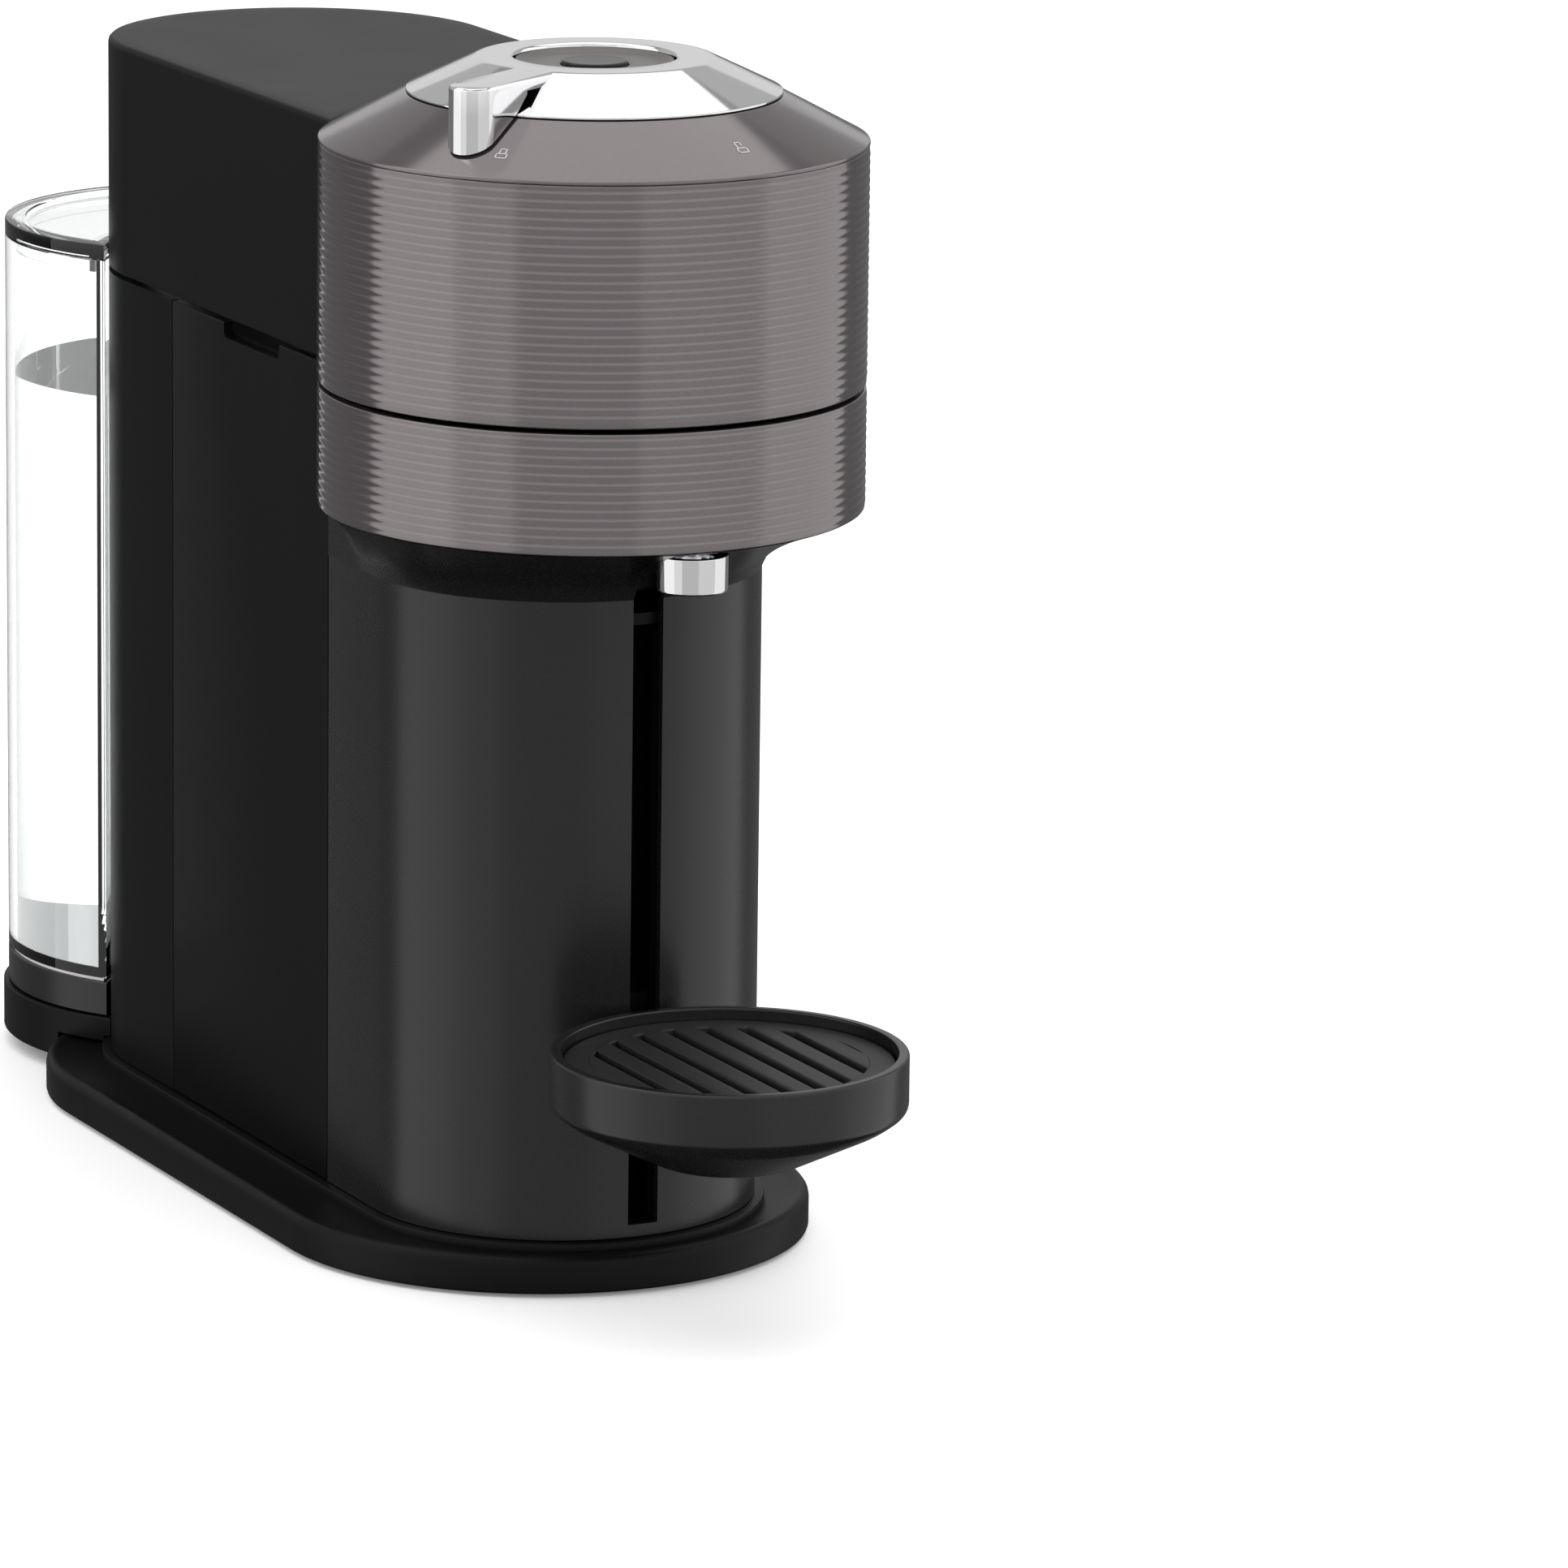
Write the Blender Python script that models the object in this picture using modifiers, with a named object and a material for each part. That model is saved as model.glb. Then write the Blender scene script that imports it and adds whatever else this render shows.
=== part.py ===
"""Pod coffee machine: the mechanical model, one object for each separate piece.

Units are metres, +Z is up, -Y is the front with the cup, +X is the right-hand side.
Every piece is drawn round the head's upright axis and then carried by the empty
`machine`, which puts the middle of the overall length at the world's origin.
"""
import math

import bmesh
import bpy
from mathutils import Matrix, Vector

# ---------------------------------------------------------------- clearances
GAP = 0.0003            # faces that touch on the real machine
SLIDE = 0.0006          # sliding and turning fits
PANEL_GAP = 0.0006      # the seams between body panels
SEAM_GAP = 0.0012       # the seam that opens, between head and body
FAR = 0.5               # cutters that go right through a piece run this far

# ---------------------------------------------------------------- round work
FINE = 36               # sides of a large round
MEDIUM = 16             # sides of a small round
HIDDEN = 28             # sides of a large round inside the machine
COARSE = 10             # sides of screws and posts

# ---------------------------------------------------------------- base
BASE_HALF = 0.071       # half the width of the base
BASE_FRONT_Y = 0.0285   # centre of its front arc
BASE_REAR_INSET = 0.003 # its rear arc lies this far in front of the body's
BASE_TOP = 0.011        # height of the flat ledge
BASE_SKIN = 0.0028      # wall of the moulding
BASE_LIFT = 0.001       # the rubber feet hold the base this far off the table
PLINTH_RISE = 0.0015    # low step on which the body stands
PLINTH_RIM = 0.0025     # how far that step shows round the body
COVER_THICK = 0.0030    # bottom cover
FOOT_RADIUS = 0.0075
FOOT_X = 0.050
SCREW_HEAD = 0.0030
SCREW_SHANK = 0.0014
SCREW_X = 0.034

# ---------------------------------------------------------------- body
BODY_HALF = 0.052       # half the width of the body and of the column
COLUMN_Y = 0.018        # centre of the column's front arc
BODY_REAR_Y = 0.181     # centre of the body's rear arc
BODY_WALL = 0.0025
FRONT_SEAM_Y = 0.048    # column front to side panel
REAR_SEAM_Y = 0.149     # side panel to rear panel
NOTCH_FRONT_Y = 0.079   # finger notch under the opening seam
NOTCH_REAR_Y = 0.1145
NOTCH_DEPTH = 0.004
SLOT_HALF = 0.0042      # slot in the column for the cup support
SLOT_BOTTOM = 0.016
SLOT_SHELF = 0.0035     # the slot stops this far under the head

# ---------------------------------------------------------------- head
HEAD_RADIUS = 0.070
HEAD_WALL = 0.0028
HEAD_BOTTOM = 0.1985
NECK_BOTTOM = 0.180     # where the column starts to flare out to the head
SEAM_Z = 0.2300         # middle of the opening seam
RIDGE_Z = 0.2927        # where the ribbed wall turns into the cone
CONE_RADIUS = 0.048     # the cone's upper edge
CONE_TOP = 0.3043
LIP_DEPTH = 0.004       # inward lip at the bottom of the lower ring

# ---------------------------------------------------------------- lock ring
RING_TOP = 0.3135       # flat top of the lock ring
RING_FLAT = 0.030       # outer radius of that flat
RING_HOLE = 0.0206
RING_EDGE = 0.0005      # height of the ring's sharp outer edge
LEVER_REACH = 0.0640    # head axis to the lever's round end
LEVER_HALF = 0.0062
LEVER_ANGLE = 57.0      # degrees to the left of the front, in the locked place
LEVER_LIFT = 0.0008     # the lever's underside clears the cone
COLLAR_RADIUS = 0.0440
COLLAR_WALL = 0.0040
COLLAR_BOTTOM = 0.2484
LUG_REACH = 0.0060
LUG_HEIGHT = 0.0040

# ---------------------------------------------------------------- button
BUTTON_RADIUS = 0.0084
BUTTON_RISE = 0.0010    # the button stands this far above the dish floor
BUTTON_TRAVEL = 0.0015
DISH_DEPTH = 0.0022     # the dish lies this far under the ring's flat
DISH_THICK = 0.0022
STEM_RADIUS = 0.0022
SPRING_RADIUS = 0.0042
SPRING_WIRE = 0.0004
SPRING_TURNS = 4
SPRING_HEIGHT = 0.0042

# ---------------------------------------------------------------- brewing unit
CHAMBER_RADIUS = 0.0488
CHAMBER_WALL = 0.0030
CHAMBER_BOTTOM = 0.1965
CHAMBER_FLOOR = 0.0025
CHAMBER_TOP = 0.2262
HOLDER_RIM = 0.0405     # the spinning capsule holder
HOLDER_CUP = 0.0315
HOLDER_WALL = 0.0030
HOLDER_RIM_THICK = 0.0025
HOLDER_TOP = 0.2250
HOLDER_DEPTH = 0.0200
HUB_RADIUS = 0.0080
BEARING_RADIUS = 0.0155
BEARING_BOTTOM = 0.1885
HOLDER_PULLEY = 0.0215
MOTOR_PULLEY = 0.0125
PULLEY_BOTTOM = 0.1790
PULLEY_HEIGHT = 0.0080
MOTOR_Y = 0.066
MOTOR_RADIUS = 0.0175
MOTOR_LENGTH = 0.050
SHAFT_RADIUS = 0.0018
BELT_THICK = 0.0014
PIERCE_RADIUS = 0.0345
PIERCE_THICK = 0.0040
PIERCE_SHAFT = 0.0080
CARRIER_BOTTOM = 0.2325
CARRIER_THICK = 0.0110
SEAL_WIDTH = 0.0026
HEAD_FRAME_BOTTOM = 0.2438
HEAD_FRAME_THICK = 0.0030

# ---------------------------------------------------------------- main frame
DECK_BOTTOM = 0.1725
DECK_THICK = 0.0030
POST_RADIUS = 0.0040
POST_X = 0.036
REAR_POST_Y = 0.086
PILLAR_RADIUS = 0.0028
PILLAR_X = 0.034
PILLAR_FRONT_Y = -0.012
PILLAR_REAR_Y = 0.030
SHAFT_ROOM = 0.002      # holes in the frames are this much wider than the shafts in them
HEAD_POST_RING = 0.056  # radius of the ring of posts under the cone
HEAD_POST_RADIUS = 0.003
DECK_REAR_Y = 0.094
DECK_COVER_THICK = 0.0025

# ---------------------------------------------------------------- hinge
HINGE_Z = 0.2375
KNUCKLE_RADIUS = 0.0045
HINGE_INSET = 0.0012    # keeps the hinge clear of the tank behind it
KNUCKLE_HALF = 0.0100
EAR_THICK = 0.0035
PIN_RADIUS = 0.0016
WINDOW_HALF = 0.0235
WINDOW_RISE = 0.0102    # window height above the hinge line
BRACKET_BOTTOM = 0.205

# ---------------------------------------------------------------- spout
SPOUT_Y = -0.0585
SPOUT_RADIUS = 0.0090
SPOUT_WALL = 0.0018
SPOUT_BOTTOM = 0.1868
DUCT_HALF = 0.0075
DUCT_HEIGHT = 0.0065

# ---------------------------------------------------------------- cup support
SUPPORT_GAP = 0.0032    # between the cup support and the column
SUPPORT_RADIUS = 0.0452
SUPPORT_TOP = 0.0736
SUPPORT_BAND = 0.0141   # height of the upright band
SUPPORT_WALL = 0.0028
SUPPORT_POCKET = 0.0120
SUPPORT_BOTTOM = 0.0450
SUPPORT_BOSS = 0.0180   # radius of the flat under the cone
ARM_HALF = 0.0036
GRID_THICK = 0.0020
GRID_DROP = 0.0030      # the grid lies this far below the rim
GRID_SLOTS = 7
GRID_SLOT_WIDTH = 0.0030
GRID_SLOT_PITCH = 0.0090
RAIL_HALF = 0.0160
RAIL_WALL = 0.0014
RAIL_FRONT_Y = -0.0283
RAIL_DEPTH = 0.0140
RAIL_TOP = 0.1700
CARRIAGE_HEIGHT = 0.0300

# ---------------------------------------------------------------- water tank
TANK_BEHIND = 0.063     # from the centre of the body's rear arc to the tank's
TANK_RADIUS = 0.056
TANK_WALL = 0.0024
TANK_BOTTOM = 0.018
TANK_FLOOR = 0.031      # top of the tank's floor
TANK_TOP = 0.2293
TANK_BODY_GAP = 0.0022
LID_RISE = 0.0043       # from the tank's rim to the top of its lid
LID_RIM = 0.0060
LID_DISH = 0.0016
LID_TONGUE = 0.0040
LID_TONGUE_WALL = 0.0018
DOCK_BOTTOM = 0.0043
DOCK_MARGIN = 0.0014
PORT_BEHIND = 0.012     # the outlet lies this far behind the tank's centre
PORT_RADIUS = 0.0065
PORT_DROP = 0.0030      # the valve's stem reaches this far under the tank's floor
VALVE_RADIUS = 0.0050
VALVE_STEM = 0.0018

# ---------------------------------------------------------------- inside the body
PUMP_Y = 0.020
PUMP_RADIUS = 0.0190
PUMP_BOTTOM = 0.040
PUMP_LENGTH = 0.075
BOILER_Y = 0.066
BOILER_BOTTOM = 0.032
BOILER_SIZE = (0.056, 0.026, 0.070)
METER_Y = 0.128
METER_RADIUS = 0.0130
METER_HEIGHT = 0.018
BIN_FRONT_Y = 0.102
BIN_BEHIND = 0.031      # the bin reaches this far behind the centre of the body's rear arc
BIN_HALF = 0.040
BIN_BOTTOM = 0.070
BIN_WALL = 0.0018
BIN_CORNER = 0.026
COUPLING_X = -0.0420    # where the hot-water hose crosses the opening seam
COUPLING_BEHIND = 0.016
BOARD_X = 0.0455
BOARD_SIZE = (0.0016, 0.070, 0.060)
BOARD_Y = 0.140
BOARD_Z = 0.036
HOSE_RADIUS = 0.0030
HOSE_Z = 0.022          # height of the hoses in the bottom of the body
HOSE_X = -0.020         # the hot-water hose leaves the boiler here
GLAND_ANGLE = 70.0      # degrees from the rear towards the right
GLAND_RADIUS = 0.0042
GLAND_BORE = 0.0030
GLAND_Z = 0.024
GLAND_PROUD = 0.0010

# ---------------------------------------------------------------- worked out
BASE_REAR_Y = BODY_REAR_Y - BASE_REAR_INSET
SUPPORT_Y = COLUMN_Y - BODY_HALF - SUPPORT_GAP - SUPPORT_RADIUS
TANK_Y = BODY_REAR_Y + TANK_BEHIND
LID_TOP = TANK_TOP + LID_RISE
PORT_Y = TANK_Y + PORT_BEHIND
BIN_REAR_Y = BODY_REAR_Y + BIN_BEHIND
COUPLING_Y = BODY_REAR_Y + COUPLING_BEHIND
LENGTH_FRONT = SUPPORT_Y - SUPPORT_RADIUS
LENGTH_REAR = TANK_Y + TANK_RADIUS + DOCK_MARGIN
HEAD_Y = -(LENGTH_FRONT + LENGTH_REAR) / 2
BODY_REAR = BODY_REAR_Y + BODY_HALF
PLINTH_TOP = BASE_TOP + PLINTH_RISE
BODY_BOTTOM = PLINTH_TOP + GAP
BODY_TOP = SEAM_Z - SEAM_GAP / 2
HEAD_SEAM = SEAM_Z + SEAM_GAP / 2
HINGE_Y = BODY_REAR - KNUCKLE_RADIUS - HINGE_INSET
HEAD_CUT_Y = math.sqrt(HEAD_RADIUS ** 2 - BODY_HALF ** 2) + GAP
DISH_TOP = RING_TOP - DISH_DEPTH
COLUMN_INNER = BODY_HALF - BODY_WALL
DECK_COVER_BOTTOM = CHAMBER_TOP - DECK_COVER_THICK

PARTS = bpy.data.collections.new("pod_coffee_machine")
CUTTERS = bpy.data.collections.new("cutters")


# ================================================================ helpers
def clear_scene():
    """Start from an empty scene."""
    for old in list(bpy.data.objects):
        bpy.data.objects.remove(old, do_unlink=True)
    for collection in (PARTS, CUTTERS):
        bpy.context.scene.collection.children.link(collection)


def material(name, colour, roughness, metallic=0.0, alpha=1.0):
    """A Principled BSDF finish."""
    finish = bpy.data.materials.new(name)
    finish.use_nodes = True
    shader = finish.node_tree.nodes["Principled BSDF"]
    shader.inputs["Base Color"].default_value = (*colour, 1.0)
    shader.inputs["Roughness"].default_value = roughness
    shader.inputs["Metallic"].default_value = metallic
    shader.inputs["Alpha"].default_value = alpha
    return finish


def place(name, mesh, finish=None, smooth=40.0):
    """Put a mesh in the scene as one named piece, or as a cutter if it has no finish."""
    piece = bpy.data.objects.new(name, mesh)
    if finish is None:
        CUTTERS.objects.link(piece)
        piece.hide_render = True
        piece.display_type = "WIRE"
    else:
        PARTS.objects.link(piece)
        mesh.materials.append(finish.copy())
        mesh.shade_smooth()
        mesh.set_sharp_from_angle(angle=math.radians(smooth))
    return piece


def mesh_from(name, bm):
    """Turn a bmesh into a mesh datablock."""
    mesh = bpy.data.meshes.new(name)
    bm.to_mesh(mesh)
    bm.free()
    return mesh


def box(name, low, high, finish=None):
    """A box between two corners."""
    bm = bmesh.new()
    bmesh.ops.create_cube(bm, size=1.0)
    low, high = Vector(low), Vector(high)
    bmesh.ops.scale(bm, vec=high - low, verts=bm.verts)
    bmesh.ops.translate(bm, vec=(low + high) / 2, verts=bm.verts)
    return place(name, mesh_from(name, bm), finish)


def rod(name, start, end, radius, finish=None, sides=MEDIUM):
    """A round bar from one point to another."""
    start, end = Vector(start), Vector(end)
    bm = bmesh.new()
    bmesh.ops.create_cone(bm, cap_ends=True, segments=sides, radius1=radius, radius2=radius,
                          depth=(end - start).length)
    turn = (end - start).to_track_quat("Z", "Y").to_matrix().to_4x4()
    bmesh.ops.transform(bm, matrix=Matrix.Translation((start + end) / 2) @ turn, verts=bm.verts)
    return place(name, mesh_from(name, bm), finish)


def turned(name, profile, finish=None, centre_y=0.0, centre_x=0.0, sides=FINE, closed=False):
    """Turn a profile of (radius, height) points about an upright axis."""
    bm = bmesh.new()
    verts = [bm.verts.new((radius, 0.0, height)) for radius, height in profile]
    for first, second in zip(verts, verts[1:]):
        bm.edges.new((first, second))
    if closed:
        bm.edges.new((verts[-1], verts[0]))
    piece = place(name, mesh_from(name, bm), finish)
    piece.location = (centre_x, centre_y, 0.0)
    screw = piece.modifiers.new("turn", "SCREW")
    screw.steps = sides
    screw.render_steps = sides
    screw.use_merge_vertices = True
    screw.merge_threshold = 0.00002
    return piece


def ring(name, outer, inner, bottom, top, finish=None, centre_y=0.0, centre_x=0.0, sides=FINE):
    """A plain ring of rectangular section."""
    profile = [(outer, top), (outer, bottom), (inner, bottom), (inner, top)]
    return turned(name, profile, finish, centre_y, centre_x, sides, closed=True)


def outline_solid(name, outlines, bottom, top, finish=None):
    """Thicken flat closed outlines, the first one outside and the others as holes."""
    curve = bpy.data.curves.new(name, "CURVE")
    curve.dimensions = "2D"
    curve.fill_mode = "BOTH"
    curve.extrude = (top - bottom) / 2
    for outline in outlines:
        spline = curve.splines.new("POLY")
        spline.points.add(len(outline) - 1)
        for point, (x, y) in zip(spline.points, outline):
            point.co = (x, y, 0.0, 1.0)
        spline.use_cyclic_u = True
    drawn = bpy.data.objects.new(name + "_outline", curve)
    drawn.location = (0.0, 0.0, (top + bottom) / 2)
    CUTTERS.objects.link(drawn)
    mesh = curve_mesh(drawn, name)
    return place(name, mesh, finish)


def curve_mesh(drawn, name):
    """Turn a curve object into a welded mesh in its place and remove the curve."""
    bpy.context.view_layer.update()
    graph = bpy.context.evaluated_depsgraph_get()
    mesh = bpy.data.meshes.new_from_object(drawn.evaluated_get(graph))
    mesh.name = name
    bm = bmesh.new()
    bm.from_mesh(mesh)
    bmesh.ops.transform(bm, matrix=drawn.matrix_world, verts=bm.verts)
    bmesh.ops.remove_doubles(bm, verts=bm.verts, dist=0.00001)
    bmesh.ops.dissolve_limit(bm, angle_limit=0.002, verts=bm.verts, edges=bm.edges)
    bmesh.ops.recalc_face_normals(bm, faces=bm.faces)
    bm.to_mesh(mesh)
    bm.free()
    mesh.materials.clear()
    bpy.data.objects.remove(drawn, do_unlink=True)
    return mesh


def tube(name, points, radius, finish):
    """A hose or wire on a smooth path through the points."""
    curve = bpy.data.curves.new(name, "CURVE")
    curve.dimensions = "3D"
    curve.bevel_depth = radius
    curve.bevel_resolution = 2
    curve.use_fill_caps = True
    spline = curve.splines.new("POLY")
    spline.points.add(len(points) - 1)
    for point, position in zip(spline.points, points):
        point.co = (*position, 1.0)
    drawn = bpy.data.objects.new(name + "_path", curve)
    CUTTERS.objects.link(drawn)
    return place(name, curve_mesh(drawn, name), finish)


def smooth_path(points, step=0.006):
    """Read a smooth curve through the points at even steps."""
    points = [Vector(p) for p in points]
    ends = [2 * points[0] - points[1]] + points + [2 * points[-1] - points[-2]]
    path = []
    for before, start, end, after in zip(ends, ends[1:], ends[2:], ends[3:]):
        count = max(1, round((end - start).length / step))
        for i in range(count):
            t = i / count
            path.append(0.5 * (2 * start + (end - before) * t
                               + (2 * before - 5 * start + 4 * end - after) * t * t
                               + (3 * start - before - 3 * end + after) * t ** 3))
    path.append(points[-1])
    return path


def cut(piece, *cutters):
    """Take the cutters out of a piece."""
    for cutter in cutters:
        boolean(piece, cutter, "DIFFERENCE")
    return piece


def join(piece, *others):
    """Make other solids one body with a piece."""
    for other in others:
        boolean(piece, other, "UNION")
    return piece


def boolean(piece, other, operation):
    """Add one EXACT Boolean."""
    step = piece.modifiers.new(operation.lower(), "BOOLEAN")
    step.operation = operation
    step.solver = "EXACT"
    step.object = other


def bevel(piece, width, angle=50.0, segments=1):
    """Break the sharp edges of a piece."""
    step = piece.modifiers.new("bevel", "BEVEL")
    step.width = width
    step.segments = segments
    step.limit_method = "ANGLE"
    step.angle_limit = math.radians(angle)
    return piece


def arc(centre_y, radius, start, end, count):
    """Points of an arc about (0, centre_y), angles in degrees from +X."""
    points = []
    for i in range(count + 1):
        angle = math.radians(start + (end - start) * i / count)
        points.append((radius * math.cos(angle), centre_y + radius * math.sin(angle)))
    return points


def stadium(half, front_y, rear_y, inset=0.0):
    """A long outline with two half-round ends, moved in by inset."""
    radius = half - inset
    half_round = FINE // 2
    return arc(front_y, radius, 180, 360, half_round) + arc(rear_y, radius, 0, 180, half_round)


def crescent(inset=0.0):
    """The tank's outline: a circle that wraps round the body's rear, moved in by inset."""
    radius = TANK_RADIUS - inset
    hollow = BODY_HALF + TANK_BODY_GAP + inset
    apart = TANK_Y - BODY_REAR_Y
    meet = (apart ** 2 + radius ** 2 - hollow ** 2) / (2 * apart)
    back = math.degrees(math.asin(meet / radius))
    wrap = math.degrees(math.asin((apart - meet) / hollow))
    outer = arc(TANK_Y, radius, -back, 180 + back, FINE * 3 // 4)
    inner = arc(BODY_REAR_Y, hollow, 180 - wrap, wrap, FINE // 2)
    return outer + inner[1:-1]


def loft(name, rings, finish=None):
    """Skin round sections, each (centre_y, radius, height), into one closed ring."""
    bm = bmesh.new()
    loops = []
    for centre_y, radius, height in rings:
        loop = []
        for i in range(FINE):
            angle = 2 * math.pi * i / FINE
            x, y = radius * math.cos(angle), centre_y + radius * math.sin(angle)
            loop.append(bm.verts.new((x, y, height)))
        loops.append(loop)
    for low, high in zip(loops, loops[1:] + loops[:1]):
        for i in range(FINE):
            j = (i + 1) % FINE
            bm.faces.new((low[i], low[j], high[j], high[i]))
    bmesh.ops.recalc_face_normals(bm, faces=bm.faces)
    return place(name, mesh_from(name, bm), finish)


# ================================================================ base
def base_inner(extra=0.0):
    return stadium(BASE_HALF, BASE_FRONT_Y, BASE_REAR_Y, BASE_SKIN + extra)


def both_sides(x, rows):
    """Places at -x and +x in each row."""
    return [(side * x, y) for y in rows for side in (-1, 1)]


def make_base(black, rubber, steel):
    """Base moulding, its bottom cover, the feet and the screws."""
    outer = stadium(BASE_HALF, BASE_FRONT_Y, BASE_REAR_Y)
    shell = outline_solid("base_shell", [outer], BASE_LIFT, BASE_TOP, black)
    bevel(shell, 0.0012)
    plinth = stadium(BODY_HALF + PLINTH_RIM, COLUMN_Y, BODY_REAR_Y)
    join(shell, outline_solid("plinth", [plinth], BASE_TOP - 0.001, PLINTH_TOP))
    inside_top = BASE_TOP - BASE_SKIN
    cut(shell, outline_solid("base_hollow", [base_inner()], -BASE_TOP, inside_top))
    cover_top = BASE_LIFT + COVER_THICK
    for i, (x, y) in enumerate(both_sides(SCREW_X, (COLUMN_Y, BODY_REAR_Y))):
        boss = rod(f"screw_boss_{i}", (x, y, cover_top + GAP), (x, y, inside_top + 0.001), SCREW_HEAD,
                   sides=COARSE)
        join(shell, boss)
    for i, (x, y) in enumerate(both_sides(SCREW_X, (COLUMN_Y, BODY_REAR_Y))):
        hole = rod(f"screw_hole_{i}", (x, y, 0.0), (x, y, inside_top), SCREW_SHANK + GAP,
                   sides=COARSE)
        cut(shell, hole)

    cover = outline_solid("base_cover", [base_inner(GAP)], BASE_LIFT, cover_top, black)
    foot_top = BASE_LIFT + COVER_THICK / 2
    for i, (x, y) in enumerate(both_sides(FOOT_X, (BASE_FRONT_Y, BASE_REAR_Y))):
        cut(cover, rod(f"foot_seat_{i}", (x, y, -0.001), (x, y, foot_top), FOOT_RADIUS + GAP))
        pad = [(0, foot_top - GAP), (FOOT_RADIUS, foot_top - GAP), (FOOT_RADIUS, 0.0006),
               (FOOT_RADIUS - 0.0006, 0.0), (0, 0.0)]
        turned(f"foot_{i + 1}", pad, rubber, y, x, MEDIUM)
    for i, (x, y) in enumerate(both_sides(SCREW_X, (COLUMN_Y, BODY_REAR_Y))):
        top_of_head = BASE_LIFT + 0.0018
        cut(cover, rod(f"counterbore_{i}", (x, y, -0.001), (x, y, top_of_head), SCREW_HEAD + GAP,
                       sides=COARSE))
        cut(cover, rod(f"cover_hole_{i}", (x, y, 0.0), (x, y, BASE_TOP), SCREW_SHANK + GAP, sides=COARSE))
        shank_top = inside_top - GAP
        head = top_of_head - GAP
        profile = [(0, shank_top), (SCREW_SHANK, shank_top), (SCREW_SHANK, head), (SCREW_HEAD, head),
                   (SCREW_HEAD, BASE_LIFT + GAP), (0, BASE_LIFT + GAP)]
        turned(f"base_screw_{i + 1}", profile, steel, y, x, COARSE)


# ================================================================ body shells
def make_body(satin, black, rubber):
    """Column front, side panels, rear panel with its cable gland, and the flared neck."""
    seam_front = FRONT_SEAM_Y - PANEL_GAP / 2
    outer = [(-BODY_HALF, seam_front)] + arc(COLUMN_Y, BODY_HALF, 180, 360, FINE // 2)
    outer.append((BODY_HALF, seam_front))
    inner = [(COLUMN_INNER, seam_front)] + arc(COLUMN_Y, COLUMN_INNER, 360, 180, FINE // 2)
    inner.append((-COLUMN_INNER, seam_front))
    column = outline_solid("column_front", [outer + inner], BODY_BOTTOM, NECK_BOTTOM - GAP, satin)
    cut(column, box("column_slot", (-SLOT_HALF, -FAR, SLOT_BOTTOM), (SLOT_HALF, 0.0, FAR)))

    for side, name in ((-1, "side_panel_left"), (1, "side_panel_right")):
        xs = sorted((side * COLUMN_INNER, side * BODY_HALF))
        panel = box(name, (xs[0], FRONT_SEAM_Y + PANEL_GAP / 2, BODY_BOTTOM),
                    (xs[1], REAR_SEAM_Y - PANEL_GAP / 2, BODY_TOP), black)
        cut(panel, box(name + "_notch", (xs[0] - 0.005, NOTCH_FRONT_Y, BODY_TOP - NOTCH_DEPTH),
                       (xs[1] + 0.005, NOTCH_REAR_Y, BODY_TOP + 0.005)))

    seam_rear = REAR_SEAM_Y + PANEL_GAP / 2
    outer = [(BODY_HALF, seam_rear)] + arc(BODY_REAR_Y, BODY_HALF, 0, 180, FINE // 2)
    outer.append((-BODY_HALF, seam_rear))
    inner = [(-COLUMN_INNER, seam_rear)] + arc(BODY_REAR_Y, COLUMN_INNER, 180, 0, FINE // 2)
    inner.append((COLUMN_INNER, seam_rear))
    rear = outline_solid("rear_panel", [outer + inner], BODY_BOTTOM, BODY_TOP, black)
    cut(rear, rod("port_passage", (0, BODY_REAR_Y, HOSE_Z), (0, FAR, HOSE_Z), HOSE_RADIUS + SLIDE))

    angle = math.radians(90 - GLAND_ANGLE)
    out = Vector((math.cos(angle), math.sin(angle), 0.0))
    wall = Vector((0.0, BODY_REAR_Y, GLAND_Z)) + out * BODY_HALF
    outside, inside = wall + out * BODY_WALL, wall - out * BODY_WALL * 3
    cut(rear, rod("gland_hole", inside, outside, GLAND_RADIUS + GAP))
    gland = rod("cord_gland", wall - out * BODY_WALL * 2, wall + out * GLAND_PROUD, GLAND_RADIUS, rubber)
    cut(gland, rod("gland_bore", inside, outside, GLAND_BORE))

    steps = 7
    rings = []
    for i in range(steps + 1):
        t = i / steps
        rings.append(neck_section(t, 0.0))
    for i in range(steps, -1, -1):
        t = i / steps
        rings.append(neck_section(t, BODY_WALL))
    neck = loft("neck_flare", rings, satin)
    cut(neck, box("neck_rear_cut", (-FAR, HEAD_CUT_Y, 0.0), (FAR, FAR, FAR)))
    slot_front = SPOUT_Y + SPOUT_RADIUS + SLOT_HALF
    cut(neck, box("neck_slot", (-SLOT_HALF, slot_front, 0.0), (SLOT_HALF, 0.0, HEAD_BOTTOM - SLOT_SHELF)))
    cut(neck, rod("spout_hole", (0, SPOUT_Y, 0.0), (0, SPOUT_Y, FAR), SPOUT_RADIUS + GAP))


def neck_section(t, inset):
    """Round section of the neck, t from 0 at the column to 1 under the head."""
    radius = BODY_HALF + (HEAD_RADIUS - 0.001 - BODY_HALF) * t
    height = NECK_BOTTOM + (HEAD_BOTTOM - GAP - NECK_BOTTOM) * t ** 0.6
    return (COLUMN_Y * (1 - t), radius - inset, height)


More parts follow.
